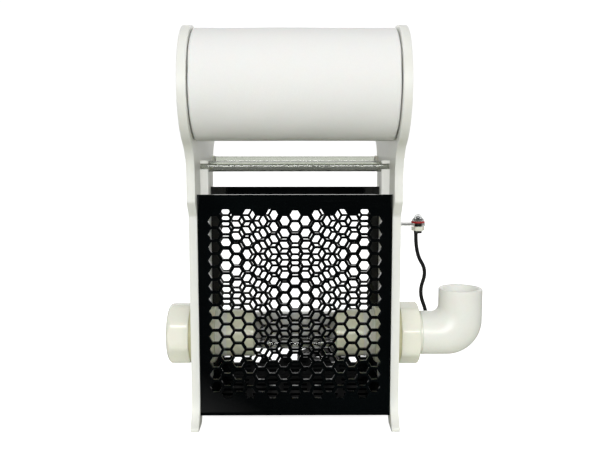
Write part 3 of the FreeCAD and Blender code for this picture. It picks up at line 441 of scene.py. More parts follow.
def islands(name):
    """Separate solids of a CAD node, each as its low corner, high corner and points.

    Points at the same place are one, and each takes the least number among the faces that it
    belongs to, again and again, until every solid has a number of its own.
    """
    mesh = NODES[name].data
    points = np.zeros(len(mesh.vertices) * 3)
    mesh.vertices.foreach_get("co", points)
    points = points.reshape(-1, 3)
    corners = np.zeros(len(mesh.polygons) * 3, int)
    mesh.polygons.foreach_get("vertices", corners)
    _, same = np.unique(np.round(points, 6), axis=0, return_inverse=True)
    same = same.ravel()
    faces = same[corners].reshape(-1, 3)
    label, last = np.arange(same.max() + 1), None
    while last is None or (label != last).any():
        last = label.copy()
        np.minimum.at(label, faces.ravel(), np.repeat(last[faces].min(1), 3))
    solids = [points[label[same] == number] for number in np.unique(label)]
    return [(solid.min(0), solid.max(0), solid) for solid in solids]


# Stage
def floor_material(colour):
    """Pale floor: white to the camera and through the clear rods, and a white board on a dark
    floor to the surfaces that it lights, so its light comes from close to the filter."""
    finish = Finish("pale_floor", colour, 0.7, Emission_Color=(1, 1, 1, 1), Emission_Strength=0.8)
    tree = finish.tree
    path = tree.nodes.new("ShaderNodeLightPath").outputs
    forward = add_node(tree, "SeparateXYZ", {0: finish.place}).outputs["Y"]
    away = add_node(tree, "VectorMath", {0: finish.place}, operation="LENGTH").outputs["Value"]
    board, ground = (0.78, 0.80, 0.69, 1), (0.19, 0.195, 0.155, 1)
    bounced = mix_colours(tree, map_range(tree, away, 0.2, 0.42), board, ground)
    # What glossy faces mirror: a dark lane from the filter to the camera, pale to its sides. The
    # lane is where Y over the distance, -1 straight ahead of the filter, is below -0.86.
    heading = math_node(tree, "DIVIDE", forward, away)
    lane = map_range(tree, heading, -0.86, -0.62, 0.01, 0.42)
    through = math_node(tree, "MULTIPLY", path["Is Transmission Ray"], 0.5)
    mirrored = math_node(tree, "MAXIMUM", through, lane)
    bounced, mirrored = (add_node(tree, "BsdfDiffuse", {"Color": share}).outputs[0]
                         for share in (bounced, mirrored))
    lit = add_node(tree, "MixShader", {0: path["Is Diffuse Ray"], 1: mirrored, 2: bounced})
    seen = add_node(tree, "MixShader", {0: path["Is Camera Ray"], 1: lit.outputs[0],
                                        2: finish.shader.outputs[0]})
    tree.links.new(seen.outputs[0], tree.nodes["Material Output"].inputs["Surface"])
    return finish.material


def soft_room(strength):
    """White all round, brighter at the back and dimmer overhead.

    A dark gap behind the camera keeps the black sheets black. Seen directly it is plain white.
    """
    world = bpy.data.worlds.new("soft_room")
    world.use_nodes = True
    tree = world.node_tree
    direction = tree.nodes.new("ShaderNodeTexCoord").outputs["Generated"]
    split = add_node(tree, "SeparateXYZ", {0: direction}).outputs
    gap = map_range(tree, split["Y"], -0.98, -0.90, 0.01, strength, smooth=True)
    over_gap = map_range(tree, split["Z"], 0.08, 0.25, 0.0, strength)
    overhead = map_range(tree, split["Z"], 0.3, 0.95, 1.0, 0.35)
    back = map_range(tree, split["Y"], 0.1, 0.7, 1.0, 1.6)
    lit = math_node(tree, "MAXIMUM", gap, over_gap)
    for share in (overhead, back):
        lit = math_node(tree, "MULTIPLY", lit, share)
    room = tree.nodes["Background"]
    feed(tree, (1, 1, 0.985, 1), room.inputs["Color"])
    feed(tree, lit, room.inputs["Strength"])
    seen = add_node(tree, "Background", {"Color": (1, 1, 1, 1), "Strength": 1.05})
    path = tree.nodes.new("ShaderNodeLightPath").outputs
    mix = add_node(tree, "MixShader", {0: path["Is Camera Ray"], 1: room.outputs[0],
                                       2: seen.outputs[0]})
    tree.links.new(mix.outputs[0], tree.nodes["World Output"].inputs["Surface"])
    return world


class FILTER_OT_studio(bpy.types.Operator):
    """Lays the pale floor, hangs the soft lights and places the camera"""

    bl_idname = "roller_filter.studio"
    bl_label = "Studio"

    def execute(self, context):
        s = context.scene.filter_studio
        scene = context.scene
        scene.view_settings.view_transform = "Standard"

        radius, drop, sides = 9, 0.0002, 64
        angle = angles(sides)
        ring = np.stack([radius * np.cos(angle), radius * np.sin(angle), 0 * angle - drop], -1)
        mesh = bpy.data.meshes.new("floor")
        mesh.from_pydata(ring, [], [list(range(sides))])
        mesh.materials.append(floor_material(s.floor))
        floor = bpy.data.objects.new("floor", mesh)
        scene.collection.objects.link(floor)

        scene.world = soft_room(s.sky)

        for name, power, width, height, place in (
            ("top_light", s.key, 1.2, 1.2, (0.0, -0.15, 1.5)),
            ("front_light", s.fill, 1.2, 0.4, (-0.03, -1.5, 0.56)),
        ):
            lamp = bpy.data.lights.new(name, "AREA")
            lamp.shape = "RECTANGLE"
            lamp.energy = power
            lamp.size, lamp.size_y = width, height
            holder = bpy.data.objects.new(name, lamp)
            holder.location = place
            aim = Vector((0, 0, 0.2)) - Vector(place)
            holder.rotation_euler = aim.to_track_quat("-Z", "Y").to_euler()
            scene.collection.objects.link(holder)

        lens = bpy.data.cameras.new("camera")
        lens.lens = s.lens
        lens.sensor_width = 36
        camera = bpy.data.objects.new("camera", lens)
        aside, pan, roll = 0.00104, -0.0052, -0.0006
        turn = Matrix.Rotation(pan, 4, "Z") @ Matrix.Rotation(QUARTER - s.tilt, 4, "X")
        place = Matrix.Translation((basket_middle() + aside, -s.distance, s.height))
        camera.matrix_world = place @ turn @ Matrix.Rotation(roll, 4, "Z")
        scene.collection.objects.link(camera)
        scene.camera = camera
        return {"FINISHED"}


# Finishes of the CAD pieces
SCREWS = ("rail_screws", "brace_screws", "tie_rod_screws", "arm_screws", "gearbox_screws")
LIFT = 0.00002  # keeps small rings and tips clear of the face that they stand on


class FILTER_OT_plates(bpy.types.Operator):
    """Gives the cut white sheets their satin face and milled edges"""

    bl_idname = "roller_filter.plates"
    bl_label = "White sheets"

    def execute(self, context):
        s = context.scene.filter_sheets
        plate = Finish("plate_white", s.plate, s.plate_roughness, Specular_IOR_Level=0.42,
                       Subsurface_Weight=0.6, Subsurface_Scale=0.006,
                       Subsurface_Radius=(1.0, 0.97, 0.88))
        plate.mottle(0.965, 14.0, 0.6).dust((0.55, 0.53, 0.45), 0.06, 0.12)
        plate.grain(1400.0, 0.12, 0.00003, 0.35).lines((25, 1100, 1100), 0.00003)
        plate.paint(*pair("side_plate"), "rear_brace")
        rail = Finish("rail_white", s.rail, s.plate_roughness + 0.04, Specular_IOR_Level=0.4)
        rail.mottle(0.95, 22.0, 0.6)
        rail.grain(1400.0, 0.1, 0.00003, 0.3).lines((1100, 1100, 30), 0.00002)
        rail.paint(*pair("guide_rail"))
        return {"FINISHED"}


class FILTER_OT_basket(bpy.types.Operator):
    """Gives the honeycomb basket its black gloss, its dust and its cut edges"""

    bl_idname = "roller_filter.basket"
    bl_label = "Black basket"

    def execute(self, context):
        s = context.scene.filter_sheets
        drift, dust = (0.0015, 0.0026, 0.003), (0.10, 0.11, 0.11)
        black = Finish("acrylic_black", s.acrylic, s.acrylic_roughness, IOR=1.49,
                       Specular_IOR_Level=0.5, Coat_Weight=0.1, Coat_Roughness=0.03)
        black.mottle(drift, 9.0, 0.7).dust(dust, 0.012, 0.25).grain(500.0, 0.06, 0.000004, 0.5)
        black.lines((1500, 40, 1500), 0.000012).scratches(0.12)
        black.paint("front_grille", "rear_grille")
        dull = Finish("acrylic_black_floor", s.acrylic, 0.3, IOR=1.49, Specular_IOR_Level=0.01)
        dull.mottle(drift, 9.0, 0.7).dust(dust, 0.01, 0.25).grain(500.0, 0.06, 0.000004, 0.5)
        dull.paint("basket_floor")
        return {"FINISHED"}


class FILTER_OT_rods(bpy.types.Operator):
    """Makes the tie rod clear, and draws the guide rods as the clear tubes that the photo shows"""

    bl_idname = "roller_filter.rods"
    bl_label = "Clear rods"

    def execute(self, context):
        clear = Finish("acrylic_clear", (0.68, 0.695, 0.655), 0.02, IOR=1.49,
                       Transmission_Weight=1.0)
        clear.mottle((0.64, 0.66, 0.61), 40.0, 0.6).paint("lower_tie_rod")
        edge = 0.0003
        for name, body in (("front_guide_rod", "front_rod"), ("rear_guide_rod", "rear_rod")):
            centre, half = measured(name)
            end, radius = half.x, half.z
            bore = radius - context.scene.filter_sheets.tube_wall
            # Section: the outside with small chamfers at both ends, then back through the bore.
            section = [(-end, radius - edge), (edge - end, radius), (end - edge, radius),
                       (end, radius - edge), (end, bore), (-end, bore)]
            tube = new_piece(name.replace("rod", "tube"), closed_shell(turned(section, centre)),
                             clear.material, body)
            tube.data.set_sharp_from_angle(angle=math.radians(40))
            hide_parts(name)
        return {"FINISHED"}


def moulded(name, colour, roughness, coat=0.15):
    """Glossy moulded PVC: slow colour drift, faint dust and orange peel."""
    finish = Finish(name, colour, roughness, Specular_IOR_Level=0.5, Subsurface_Weight=0.08,
                    Subsurface_Scale=0.003, Coat_Weight=coat, Coat_Roughness=0.12)
    finish.mottle(0.95, 26.0, 0.7).dust((0.45, 0.42, 0.3), 0.05, 0.2)
    return finish.grain(260.0, 0.1, 0.00006, 0.35)


class FILTER_OT_small_fittings(bpy.types.Operator):
    """Finishes the union bodies, lock nuts, bushes, gaskets and seals"""

    bl_idname = "roller_filter.small_fittings"
    bl_label = "Unions and seals"

    def execute(self, context):
        s = context.scene.filter_fittings
        ivory = moulded("pvc_ivory", s.nut, s.roughness)
        ivory.paint("union_tail", *pair("rod_bush"), "sensor_nut")
        # The union bodies and lock nuts sit in shade inside the basket. Their ivory carries that
        # shade's olive tint, painted in.
        ivory_olive_shade = moulded("pvc_ivory_olive_shade", (0.86, 0.87, 0.66), s.roughness)
        ivory_olive_shade.paint(*pair("union_body"), *pair("lock_nut"))
        # Tan gasket rubber. On the collars beside the nuts it also paints the shade in those gaps.
        tan = Finish("gasket_rubber_and_gap_shade", s.gasket, 0.6)
        tan.mottle(0.8, 120.0, 0.7).grain(1600.0, 0.1, 0.00004, 0.6)
        tan.paint(*pair("union_gasket"))
        seal = Finish("seal_black", (0.012, 0.012, 0.013), 0.5)
        seal.mottle((0.025, 0.025, 0.026), 200.0, 0.6).grain(1800.0, 0.15, 0.00002, 0.6)
        seal.paint("union_seal_ring", "cap_seal")
        return {"FINISHED"}


class FILTER_OT_sensor(bpy.types.Operator):
    """Finishes the level sensor, its tab and its red ring, and draws its dome and tip"""

    bl_idname = "roller_filter.sensor"
    bl_label = "Level sensor"

    def execute(self, context):
        tab = Finish("arm_translucent", (0.78, 0.785, 0.76), 0.04, IOR=1.2,
                     Transmission_Weight=1.0)
        tab.mottle((0.72, 0.73, 0.70), 60.0, 0.5).grain(900.0, 0.1, 0.00002, 0.4)
        tab.paint("sensor_arm")
        dome = Finish("dome_clear", (0.86, 0.87, 0.87), 0.03, IOR=1.5, Transmission_Weight=0.95)
        dome.lines((400, 400, 1800), 0.000002)
        red = Finish("gasket_red", (0.42, 0.012, 0.012), 0.45)
        red.mottle((0.3, 0.01, 0.01), 300.0, 0.6).grain(2000.0, 0.1, 0.00002, 0.6)
        red.paint("sensor_gasket")
        body = Finish("sensor_black", (0.010, 0.010, 0.011), 0.3, Coat_Weight=0.2)
        body.mottle((0.02, 0.02, 0.022), 300.0, 0.5).grain(2200.0, 0.1, 0.00002, 0.5)
        body.paint("sensor_body", "sensor_gland")

        foot, half = measured("sensor_dome")
        foot.z -= half.z
        shape = clear_dome(foot, radius=half.x, height=2 * half.z, wall=0.0009)
        shell = new_piece("sensor_dome_clear", shape, dome.material, "frame")
        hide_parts("sensor_dome")
        collar = (foot.x, foot.y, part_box("sensor_gasket")[1].z)
        shape = flat_ring(collar, radius=0.0059, height=0.0026, hole=half.x + 0.0012)
        new_piece("sensor_washer", shape, dome.material, "frame")
        shape = sensor_tip(foot, radius=0.0025, height=0.0036)
        new_piece("sensor_tip", shape, body.material, "frame")
        return {"FINISHED"}


def clear_dome(centre, radius, height, wall):
    """A hollow dome: a quarter circle over a short straight wall, and the same inside."""
    angle = np.linspace(0, QUARTER - 0.02, 20)
    arc = run(np.sin(angle), np.cos(angle))
    spring, hollow = (height - radius, 0), radius - wall
    profile = [[(0, radius)], spring + radius * arc, (spring + hollow * arc)[::-1], [(0, hollow)]]
    return upright(np.vstack(profile), centre)


def flat_ring(centre, radius, height, hole):
    """A ring with a rounded outer rim and a chamfered hole, which lies round the collar."""
    soft, chamfer = 0.0003, 0.0002
    profile = [[(LIFT, hole), (LIFT, radius)], rounded(height, radius, soft, 6)[::-1],
               [(height, hole + chamfer), (height - chamfer, hole)]]
    return upright(np.vstack(profile), centre)


def sensor_tip(centre, radius, height):
    """The black cone inside the dome that looks for water."""
    shoulder, point = 0.35 * height, 0.0002
    profile = [(LIFT, 0.0001), (LIFT, radius), (shoulder, radius), (height, point)]
    return upright(profile, centre, 32)


class FILTER_OT_drive(bpy.types.Operator):
    """Finishes the rollers, their plugs and pins, and the gear motor"""

    bl_idname = "roller_filter.drive"
    bl_label = "Rollers and drive"

    def execute(self, context):
        grey = Finish("hub_grey", (0.30, 0.31, 0.32), 0.42)
        grey.mottle((0.26, 0.27, 0.28), 60.0, 0.6).dust(amount=0.08, height=0.6)
        grey.grain(1200.0, 0.12, 0.00004, 0.5).paint(*pair("supply_hub"), "drive_hub", "idle_hub")
        tube = Finish("take_up_tube", (0.62, 0.63, 0.60), 0.4)
        tube.mottle((0.55, 0.56, 0.53), 40.0, 0.6).grain(1200.0, 0.1, 0.00003, 0.4)
        tube.lines((1300, 30, 30), 0.00001).paint("take_up_core")
        card = Finish("cardboard", (0.36, 0.25, 0.14), 0.85, Sheen_Weight=0.2)
        card.mottle((0.25, 0.17, 0.09), 500.0, 0.8).grain(700.0, 0.1, 0.0001, 0.8)
        card.lines((90, 1, 1), 0.0002, turn=(0, 0, 0.5)).paint("supply_core")
        steel = Finish("spindle_steel", (0.56, 0.56, 0.57), 0.24, Metallic=1.0)
        steel.mottle((0.48, 0.48, 0.49), 200.0, 0.5).grain(1500.0, 0.12, 0.000005, 0.4)
        steel.lines((1800, 60, 60), 0.000006).paint("supply_spindle", "output_shaft", "idle_pin")
        screws = Finish("plain_screws", (0.62, 0.61, 0.60), 0.3, Metallic=1.0)
        screws.mottle((0.5, 0.49, 0.47), 700.0, 0.6).grain(2500.0, 0.15, 0.000008, 0.5)
        screws.paint(*SCREWS, "motor_terminals", "plug_ferrule")
        knob = Finish("knob_black", (0.014, 0.014, 0.015), 0.45)
        knob.mottle((0.024, 0.024, 0.025), 120.0, 0.6).dust((0.2, 0.19, 0.17), 0.12, 0.8)
        knob.grain(1500.0, 0.15, 0.00005, 0.6).paint("spindle_knob", "idle_pin_knob", "cable_plug")
        cast = Finish("gearbox_metal", (0.42, 0.42, 0.43), 0.42, Metallic=1.0)
        cast.mottle((0.34, 0.34, 0.35), 90.0, 0.7).dust((0.25, 0.24, 0.22), 0.15, 0.8)
        cast.grain(900.0, 0.15, 0.00008, 0.7).paint("gearbox_housing", "gearbox_cover")
        can = Finish("motor_steel", (0.6, 0.6, 0.61), 0.22, Metallic=1.0)
        can.mottle((0.5, 0.5, 0.51), 150.0, 0.5).grain(1200.0, 0.1, 0.000006, 0.4)
        can.lines((60, 1800, 60), 0.000008).paint("motor_can")
        return {"FINISHED"}


# New pieces
class FILTER_OT_fleece(bpy.types.Operator):
    """Winds the roll of filter fleece"""

    bl_idname = "roller_filter.fleece"
    bl_label = "Fleece roll"

    def execute(self, context):
        s = context.scene.filter_fleece
        centre, half = measured("fleece_roll")
        end, outer = half.x + s.fluff, half.y
        clearance = 0.0001
        inner = measured("supply_core")[1].y + clearance

        # Profile from the bore over one end, across the width and down the other end.
        corner, rings = 0.0022, 150
        face = run(end, np.linspace(inner, outer - corner, rings))
        width = run(np.linspace(end - corner, 0, 40)[1:], outer)
        right = np.vstack([face, rounded(end, outer, corner, 7)[1:], width])
        left = right[::-1][1:] * (-1, 1)
        bore = run(np.linspace(-end, end, 6)[1:-1], inner)
        along, radius = np.vstack([right, left, bore]).T[:, :, None]
        angle = angles(288)
        along, radius = along + 0 * angle, radius + 0 * angle

        # The free end starts at the back and below: one layer's step runs off over a whole turn.
        wound = ((angle - math.radians(-40)) % TURN) / TURN
        depth = np.clip((radius - inner) / (outer - inner), 0, 1)
        # Slow swell: a few sine waves along the width and round the roll.
        swell = np.sin(3 * angle + 41 * along) + 0.7 * np.sin(2 * angle - 63 * along + 1.3)
        swell += 0.5 * np.sin(7 * angle + 97 * along + 0.4)
        radius -= depth ** 4 * (s.flap * wound + s.swell * (1.1 + 0.5 * swell))
        # Gaps between the layers: the end sinks where the spiral's edge passes.
        turn_count = (radius - inner) / s.layer - angle / TURN
        gap = np.abs(np.sin(math.pi * turn_count)) ** 0.6
        on_end = np.clip((np.abs(along) - (end - corner)) / corner, 0, 1)
        uneven = np.sin(2.7 * turn_count + 5 * np.sin(angle * 2 + 0.7))
        sink = s.ripple * ((1 - gap) + 0.35 * (1 + uneven)) * on_end
        along -= np.sign(along) * np.where(depth > 0.001, sink, 0)

        piece = new_piece("fleece_wound", closed_shell(around(centre, along, radius, angle)),
                          fleece_material(s.colour), "supply_roll")
        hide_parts("fleece_roll")
        return {"FINISHED"}


def fleece_material(colour):
    """Matted white fibres: two directions of fine crossed noise, soft sheen and lint."""
    finish = Finish("fleece", colour, 0.92, Specular_IOR_Level=0.1, Sheen_Weight=0.08,
                    Sheen_Roughness=0.5, Subsurface_Weight=0.06, Subsurface_Scale=0.003)
    finish.mottle(0.97, 700.0, 0.4)
    finish.lines((2600, 500, 500), 0.00012, (0.3, 0.5, 0.9), detail=6)
    finish.lines((500, 2600, 900), 0.00012, (-0.6, 0.2, -0.4), detail=6)
    return finish.grain(2200.0, 0.05, 0.00015, 0.7).material


def octagon_radius(across, round_off, tilt):
    """Radius of a rounded octagon: its flats' distance over the cosine to the nearest flat.

    Where it comes within round_off of the corners' radius, up to 0.45 of round_off is taken off.
    """
    corner = across / math.cos(math.pi / 8)

    def radius(angle):
        nearest = (angle - tilt + math.pi / 8) % (math.pi / 4) - math.pi / 8
        flat = across / np.cos(nearest)
        over = np.clip((flat - (corner - round_off)) / round_off, 0, 1)
        return flat - over ** 2 * round_off * 0.45
    return radius


def nut_surface(centre, across, ends, rounding, tilt, inner, flip=False):
    """An eight sided nut: each radius is the smaller of the octagon's and of a turned curve's.

    The turned curve runs level from the inner end, then falls in a quarter ellipse with these two
    roundings, along and across the axis. The inner profile closes the ring through its middle.
    Smaller is taken softly. flip mirrors the nut to the other side of its centre.
    """
    (start, end), (round_x, round_r) = ends, rounding
    edge, soft, corner_rounding = 0.0004, 0.0006, 0.0016
    octagon = octagon_radius(across, corner_rounding, tilt)
    corner = across / math.cos(math.pi / 8)
    level = run(np.linspace(start + edge, end - round_x, 10), corner)
    bend = np.linspace(0, QUARTER, 22)[1:]
    fall = run(end - round_x + round_x * np.sin(bend), corner - round_r + round_r * np.cos(bend))
    outside = np.vstack([[(start, corner - edge)], level, fall])
    count = len(outside)

    def radius_at(radius, angle):
        curve = radius[:count]
        flats = octagon(angle) * np.ones((count, 1))
        flats[0] -= edge
        blend = np.clip(0.5 + (flats - curve) / (2 * soft), 0, 1)
        least = flats * (1 - blend) + curve * blend - soft * blend * (1 - blend)
        return np.vstack([least, radius[count:] + 0 * angle])

    points = turned(np.vstack([outside, inner]), centre, 384, radius_at)
    if flip:
        points[..., 0] = 2 * centre[0] - points[..., 0]
    return closed_shell(points)


class FILTER_OT_union_nut(bpy.types.Operator):
    """Moulds the eight sided union nut, the blank cap and the tan collars beside them, which paint
    the shade in the gaps by the plates
    """

    bl_idname = "roller_filter.union_nut"
    bl_label = "Union nut and blank cap"

    def execute(self, context):
        s = context.scene.filter_fittings
        ivory = moulded("nut_ivory", s.nut, s.roughness).material
        bore, chamfer, lip_edge = s.thread_bore, 0.0009, 0.0006
        open_end = [(s.skirt + chamfer, bore), (s.skirt, bore + chamfer)]
        axis_z = measured("union_body_right")[0].z

        middle, half = measured("union_nut")
        across, length = half.y, 2 * half.x
        nut_end = (middle.x - half.x, middle.y, axis_z)
        hole = [(length, s.neck + lip_edge), (length - lip_edge, s.neck),
                (length - s.lip, s.neck), (length - s.lip, bore)]
        shape = nut_surface(nut_end, across, (s.skirt, length), (0.0035, 0.0035),
                            math.radians(7), hole + open_end)
        nut = new_piece("union_nut_moulded", shape, ivory, "nut")
        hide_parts("union_nut")

        # The cap has the nut's flats. Its end is closed: rings of the face, then the cup inside.
        middle, half = measured("blank_cap")
        length = 2 * half.x
        cap_end = (middle.x + half.x, middle.y, axis_z)
        face = [(length, radius) for radius in (0.021, 0.015, 0.008, 0.0002)]
        cup = [(length - s.cap_wall, 0.0002), (length - s.cap_wall, bore)]
        shape = nut_surface(cap_end, across, (s.skirt, length), (0.008, 0.0078),
                            math.radians(-8), face + cup + open_end, flip=True)
        cap = new_piece("blank_cap_moulded", shape, ivory, "cap")
        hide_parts("blank_cap")

        # Thick tan collars between the plates and the nuts: gasket tan that also paints the shade
        # in the gap there, as a thin dark line beside each nut.
        hole, outer, gap = 0.0255, 0.0289, 0.0001
        rim = [(0.0, hole), (0.0, outer - 0.0005), (0.0005, outer),
               (s.skirt - gap - 0.0005, outer), (s.skirt - gap, outer - 0.0004),
               (s.skirt - gap, hole)]
        collars = []
        for side, x in ((1, nut_end[0]), (-1, cap_end[0])):
            profile = [(side * along, radius) for along, radius in rim]
            collars.append(closed_shell(turned(profile, (x, middle.y, axis_z), 128)))
        new_piece("union_collars_gap_shade", merged(collars), bpy.data.materials["gasket_rubber_and_gap_shade"], "frame")
        return {"FINISHED"}


class FILTER_OT_elbow(bpy.types.Operator):
    """Moulds the elbow with its two sockets"""

    bl_idname = "roller_filter.elbow"
    bl_label = "Elbow"

    def execute(self, context):
        s = context.scene.filter_fittings
        low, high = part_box("inlet_elbow")
        radius = (high.y - low.y) / 2
        axis_x, axis_y, axis_z = high.x - radius, (low.y + high.y) / 2, low.z + radius
        level, rise = axis_x - s.bend - low.x, high.z - (axis_z + s.bend)
        lip, chamfer, step, taper, nook = 0.0009, 0.0007, 0.0005, 0.995, 0.002

        # Stations: the arm, how far from the bend, and the radius. In the bend it is the angle.
        def outer_arm(arm, length):
            rim = [(arm, along, r) for along, r in rounded(length, radius, lip, 6)]
            return rim + [(arm, length * share, radius) for share in (0.7, 0.35, 0.01)]

        def socket_wall(arm, length):
            return [(arm, length, s.socket + chamfer), (arm, length - chamfer, s.socket),
                    (arm, length - s.socket_depth + step, s.socket * taper),
                    (arm, length - s.socket_depth, s.water_way)]

        stations = outer_arm("in", level)
        stations += [("bend", angle, radius) for angle in np.linspace(0, QUARTER, 33)]
        stations += outer_arm("up", rise)[::-1] + socket_wall("up", rise)
        stations += [("bend", angle, s.water_way) for angle in np.linspace(QUARTER, 0, 17)]
        stations += socket_wall("in", level)[::-1]

        # Each lengthwise line lies to the inside of the bend by its own offset. It runs level,
        # turns, and runs up. Outside, the turn's radius falls evenly with the offset, from the
        # bend's radius plus the elbow's own at the back to inner_corner in the nook.
        phi = angles(160)
        points = np.zeros((len(stations), len(phi), 3))
        for k, (arm, value, r) in enumerate(stations):
            offset = r * np.cos(phi)
            outside = r > s.socket + 0.001
            if outside:
                fall = s.bend + radius - s.inner_corner
                arc = s.inner_corner + fall * (radius - offset) / (2 * radius)
            else:
                arc = np.maximum(s.bend - offset, nook)
            turn_x, turn_z = axis_x - offset - arc, axis_z + offset + arc
            if arm == "bend":
                x, z = turn_x + arc * math.sin(value), turn_z - arc * math.cos(value)
            elif arm == "in":
                spread = low.x + (turn_x - low.x) * (1 - value / level)
                x = spread if outside else np.minimum(axis_x - s.bend - value, turn_x)
                z = axis_z + offset
            else:
                spread = high.z - (high.z - turn_z) * (1 - value / rise)
                x = axis_x - offset
                z = spread if outside else np.maximum(axis_z + s.bend + value, turn_z)
            points[k] = np.column_stack([x, axis_y + r * np.sin(phi), z])
        white = moulded("elbow_white", s.elbow, s.roughness + 0.1, coat=0.04)
        piece = new_piece("elbow_moulded", closed_shell(points), white.material, "elbow_set")
        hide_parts("inlet_elbow")
        return {"FINISHED"}


class FILTER_OT_threads(bpy.types.Operator):
    """Cuts the threads on the unions"""

    bl_idname = "roller_filter.threads"
    bl_label = "Threads"

    def execute(self, context):
        s = context.scene.filter_fittings
        sleeves = []
        for side, name in ((1, "right"), (-1, "left")):
            low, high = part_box("union_body_" + name)
            nut_low, nut_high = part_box("lock_nut_" + name)
            # Inside the basket the pipe's thread shows past the lock nut. Outside, the neck's
            # thread shows when the cap or the nut comes off.
            inside, outside = (nut_low.x, high.x) if side > 0 else (nut_high.x, low.x)
            for x, length, radius, height in ((inside, 0.0112, 0.02276, 0.0005),
                                              (outside, 0.0115, 0.02502, 0.00024)):
                start = (x, (low.y + high.y) / 2, (low.z + high.z) / 2)
                sleeves.append(thread_sleeve(start, -side, length, radius, height, s.pitch))
        new_piece("union_threads", merged(sleeves), bpy.data.materials["nut_ivory"], "frame")
        return {"FINISHED"}


def thread_sleeve(start, side, length, radius, height, pitch):
    """A sleeve whose radius rises by height to a crest that climbs one pitch a turn.

    The radius is radius + height * (a rounded wave of along / pitch - angle / turn), faded to
    nothing over one pitch at both ends, and both ends close with a small step down.
    """
    rows, step = int(length / pitch * 10), 0.0004
    along = np.linspace(0, length, rows)[:, None]
    angle = angles(96)
    wave = 0.5 - 0.5 * np.cos(TURN * (along / pitch - side * angle / TURN))
    fade = np.clip(np.minimum(along, length - along) / pitch, 0, 1)
    end = np.full((1, len(angle)), radius - step)
    crest = np.vstack([end, radius + height * wave ** 0.8 * fade, end])
    along = np.vstack([[[0.0]], along, [[length]]]) * side
    return closed_shell(around(start, along, crest, angle))


class FILTER_OT_screw_heads(bpy.types.Operator):
    """Gives each screw head its hexagon socket"""

    bl_idname = "roller_filter.screw_heads"
    bl_label = "Screw heads"

    def execute(self, context):
        heads = []
        for name in SCREWS:
            for low, high, points in islands(name):
                y, z = (low[1] + high[1]) / 2, (low[2] + high[2]) / 2
                reach = np.hypot(points[:, 1] - y, points[:, 2] - z)
                # The head is at the end that reaches further from the screw's axis.
                first, last = (reach[np.abs(points[:, 0] - x) < 1e-5].max()
                               for x in (low[0], high[0]))
                end, side = (high[0], 1) if last > first else (low[0], -1)
                heads.append(socket_head((end, y, z), side, reach.max()))
        new_piece("screw_sockets", merged(heads), bpy.data.materials["plain_screws"], "frame")
        return {"FINISHED"}


def socket_head(centre, side, radius):
    """A low dome with a six sided pit: rings of (radius, height), the inner ones hexagonal."""
    angle = angles(48)
    hexagon = 1 / np.cos((angle + math.pi / 6) % (math.pi / 3) - math.pi / 6)
    pit, floor, foot = radius * 0.48, 0.00005, -0.0003
    rings = [(0.02 * pit * hexagon, floor), (pit * hexagon, floor), (pit * hexagon, 0.0005),
             ((pit + 0.0001) * hexagon, 0.0006), (0.8 * radius, 0.00058),
             (0.92 * radius, 0.0004), (0.99 * radius, 0.00015), (0.995 * radius, foot),
             (0.02 * pit, foot)]
    return closed_shell(np.stack([around(centre, side * height, ring, angle)
                                  for ring, height in rings]))


class FILTER_OT_cable(bpy.types.Operator):
    """Lays the sensor's lead and its put-away coil"""

    bl_idname = "roller_filter.cable"
    bl_label = "Sensor lead"

    def execute(self, context):
        s = context.scene.filter_cable
        route = cable_route()
        curve = bpy.data.curves.new("sensor_lead", "CURVE")
        curve.dimensions = "3D"
        curve.resolution_u = 6
        curve.bevel_depth = s.diameter / 2
        curve.bevel_resolution = 4
        curve.use_fill_caps = True
        spline = curve.splines.new("NURBS")
        spline.points.add(len(route) - 1)
        spline.points.foreach_set("co", np.column_stack([route, np.ones(len(route))]).ravel())
        spline.order_u = 3
        spline.use_endpoint_u = True
        cable = bpy.data.objects.new("sensor_lead", curve)
        context.scene.collection.objects.link(cable)
        skin = Finish("cable_black", s.colour, 0.55, Specular_IOR_Level=0.2)
        skin.mottle((0.006, 0.006, 0.0065), 160.0, 0.5).dust((0.12, 0.12, 0.11), 0.04, 0.4)
        skin.grain(1500.0, 0.15, 0.00003, 0.6)
        curve.materials.append(skin.material)
        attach(cable, "frame")
        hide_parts("sensor_cable", "cable_coil")
        return {"FINISHED"}


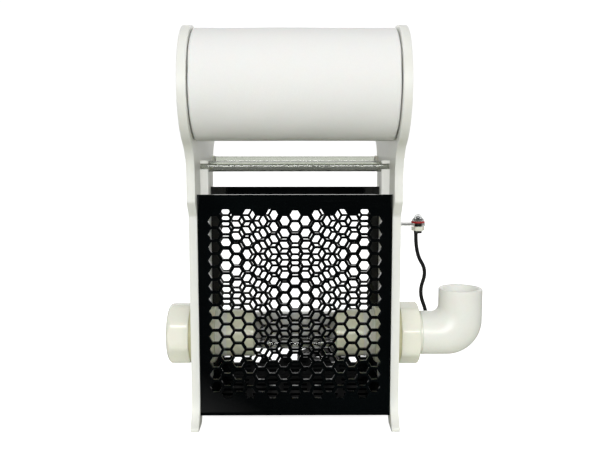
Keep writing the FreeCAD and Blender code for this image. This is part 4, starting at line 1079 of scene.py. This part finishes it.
def cable_route():
    """The lead's route in metres: down from the gland, behind the filter, then the coil.

    The coil's points lie on half turns about two centres: each half turn is half a wire's step
    smaller than the last, and after one that climbs they grow again in the second layer.
    """
    hanging = [
        (122.6, 26.5, 169.3), (122.6, 26.5, 148.6), (134.6, 26.5, 130.6), (126.6, 26.5, 108.5),
        (136.2, 28.0, 85.0), (134.0, 33.5, 64.0), (129.0, 37.5, 52.0), (120.0, 43.0, 45.0),
        (111.5, 50.0, 38.0), (106.0, 60.0, 27.0), (104.0, 73.0, 14.0), (102.0, 87.0, 5.5),
        (96.0, 100.0, 2.2), (84.0, 109.0, 2.2), (68.5, 115.0, 2.2), (52.5, 116.3, 2.2),
    ]
    outermost, step_in, innermost, climb = 29.2, 2.15, 12.0, 4.3
    radii = [outermost - step_in * i for i in range(8)]
    turns = [(r, 0.0) for r in radii] + [(innermost, climb)] + [(r, 0.0) for r in radii[::-1]]
    middle_x, points_each = 33.0, 8
    # The spline runs inside its points, at this share of their distance from the centre.
    drawn_in = 0.9809
    coil = []
    y, z, side = 116.3, 2.2, -1
    for radius, rise in turns:
        centre_y = y - side * radius
        share = (np.arange(points_each) + 0.5) / points_each
        angle = share * math.pi
        out = side * radius / drawn_in
        coil.append(np.column_stack([middle_x + out * np.sin(angle),
                                     centre_y + out * np.cos(angle), z + rise * share]))
        y, z, side = y - 2 * side * radius, z + rise, -side
    tail = [(x, y, z) for x in (37.0, 45.0, 57.0)]
    points = np.vstack([hanging] + coil + [tail]) / 1000
    points[:, 0] += basket_middle()
    return points


OPERATORS = (
    FILTER_OT_studio, FILTER_OT_cable, FILTER_OT_plates, FILTER_OT_basket, FILTER_OT_rods,
    FILTER_OT_small_fittings, FILTER_OT_sensor, FILTER_OT_drive, FILTER_OT_fleece,
    FILTER_OT_union_nut, FILTER_OT_elbow, FILTER_OT_threads, FILTER_OT_screw_heads,
)
SETTINGS = {
    "filter_sheets": SheetSettings, "filter_fittings": FittingSettings,
    "filter_fleece": FleeceSettings, "filter_cable": CableSettings,
    "filter_studio": StudioSettings,
}


class FILTER_PT_panel(bpy.types.Panel):
    """Lists the filter's pieces and their settings"""

    bl_label = "Fleece roller filter"
    bl_idname = "FILTER_PT_panel"
    bl_space_type = "VIEW_3D"
    bl_region_type = "UI"
    bl_category = "Filter"

    def draw(self, context):
        for operator in OPERATORS:
            self.layout.operator(operator.bl_idname)
        for name, group in SETTINGS.items():
            box = self.layout.box()
            for key in group.__annotations__:
                box.prop(getattr(context.scene, name), key)


CLASSES = (*SETTINGS.values(), *OPERATORS, FILTER_PT_panel)


def register():
    for item in CLASSES:
        bpy.utils.register_class(item)
    for name, group in SETTINGS.items():
        setattr(bpy.types.Scene, name, bpy.props.PointerProperty(type=group))


def unregister():
    for name in SETTINGS:
        delattr(bpy.types.Scene, name)
    for item in reversed(CLASSES):
        bpy.utils.unregister_class(item)


def main():
    register()
    for operator in OPERATORS:
        getattr(bpy.ops.roller_filter, operator.bl_idname.split(".")[1])()
    bpy.context.view_layer.update()


if __name__ == "__main__":
    main()
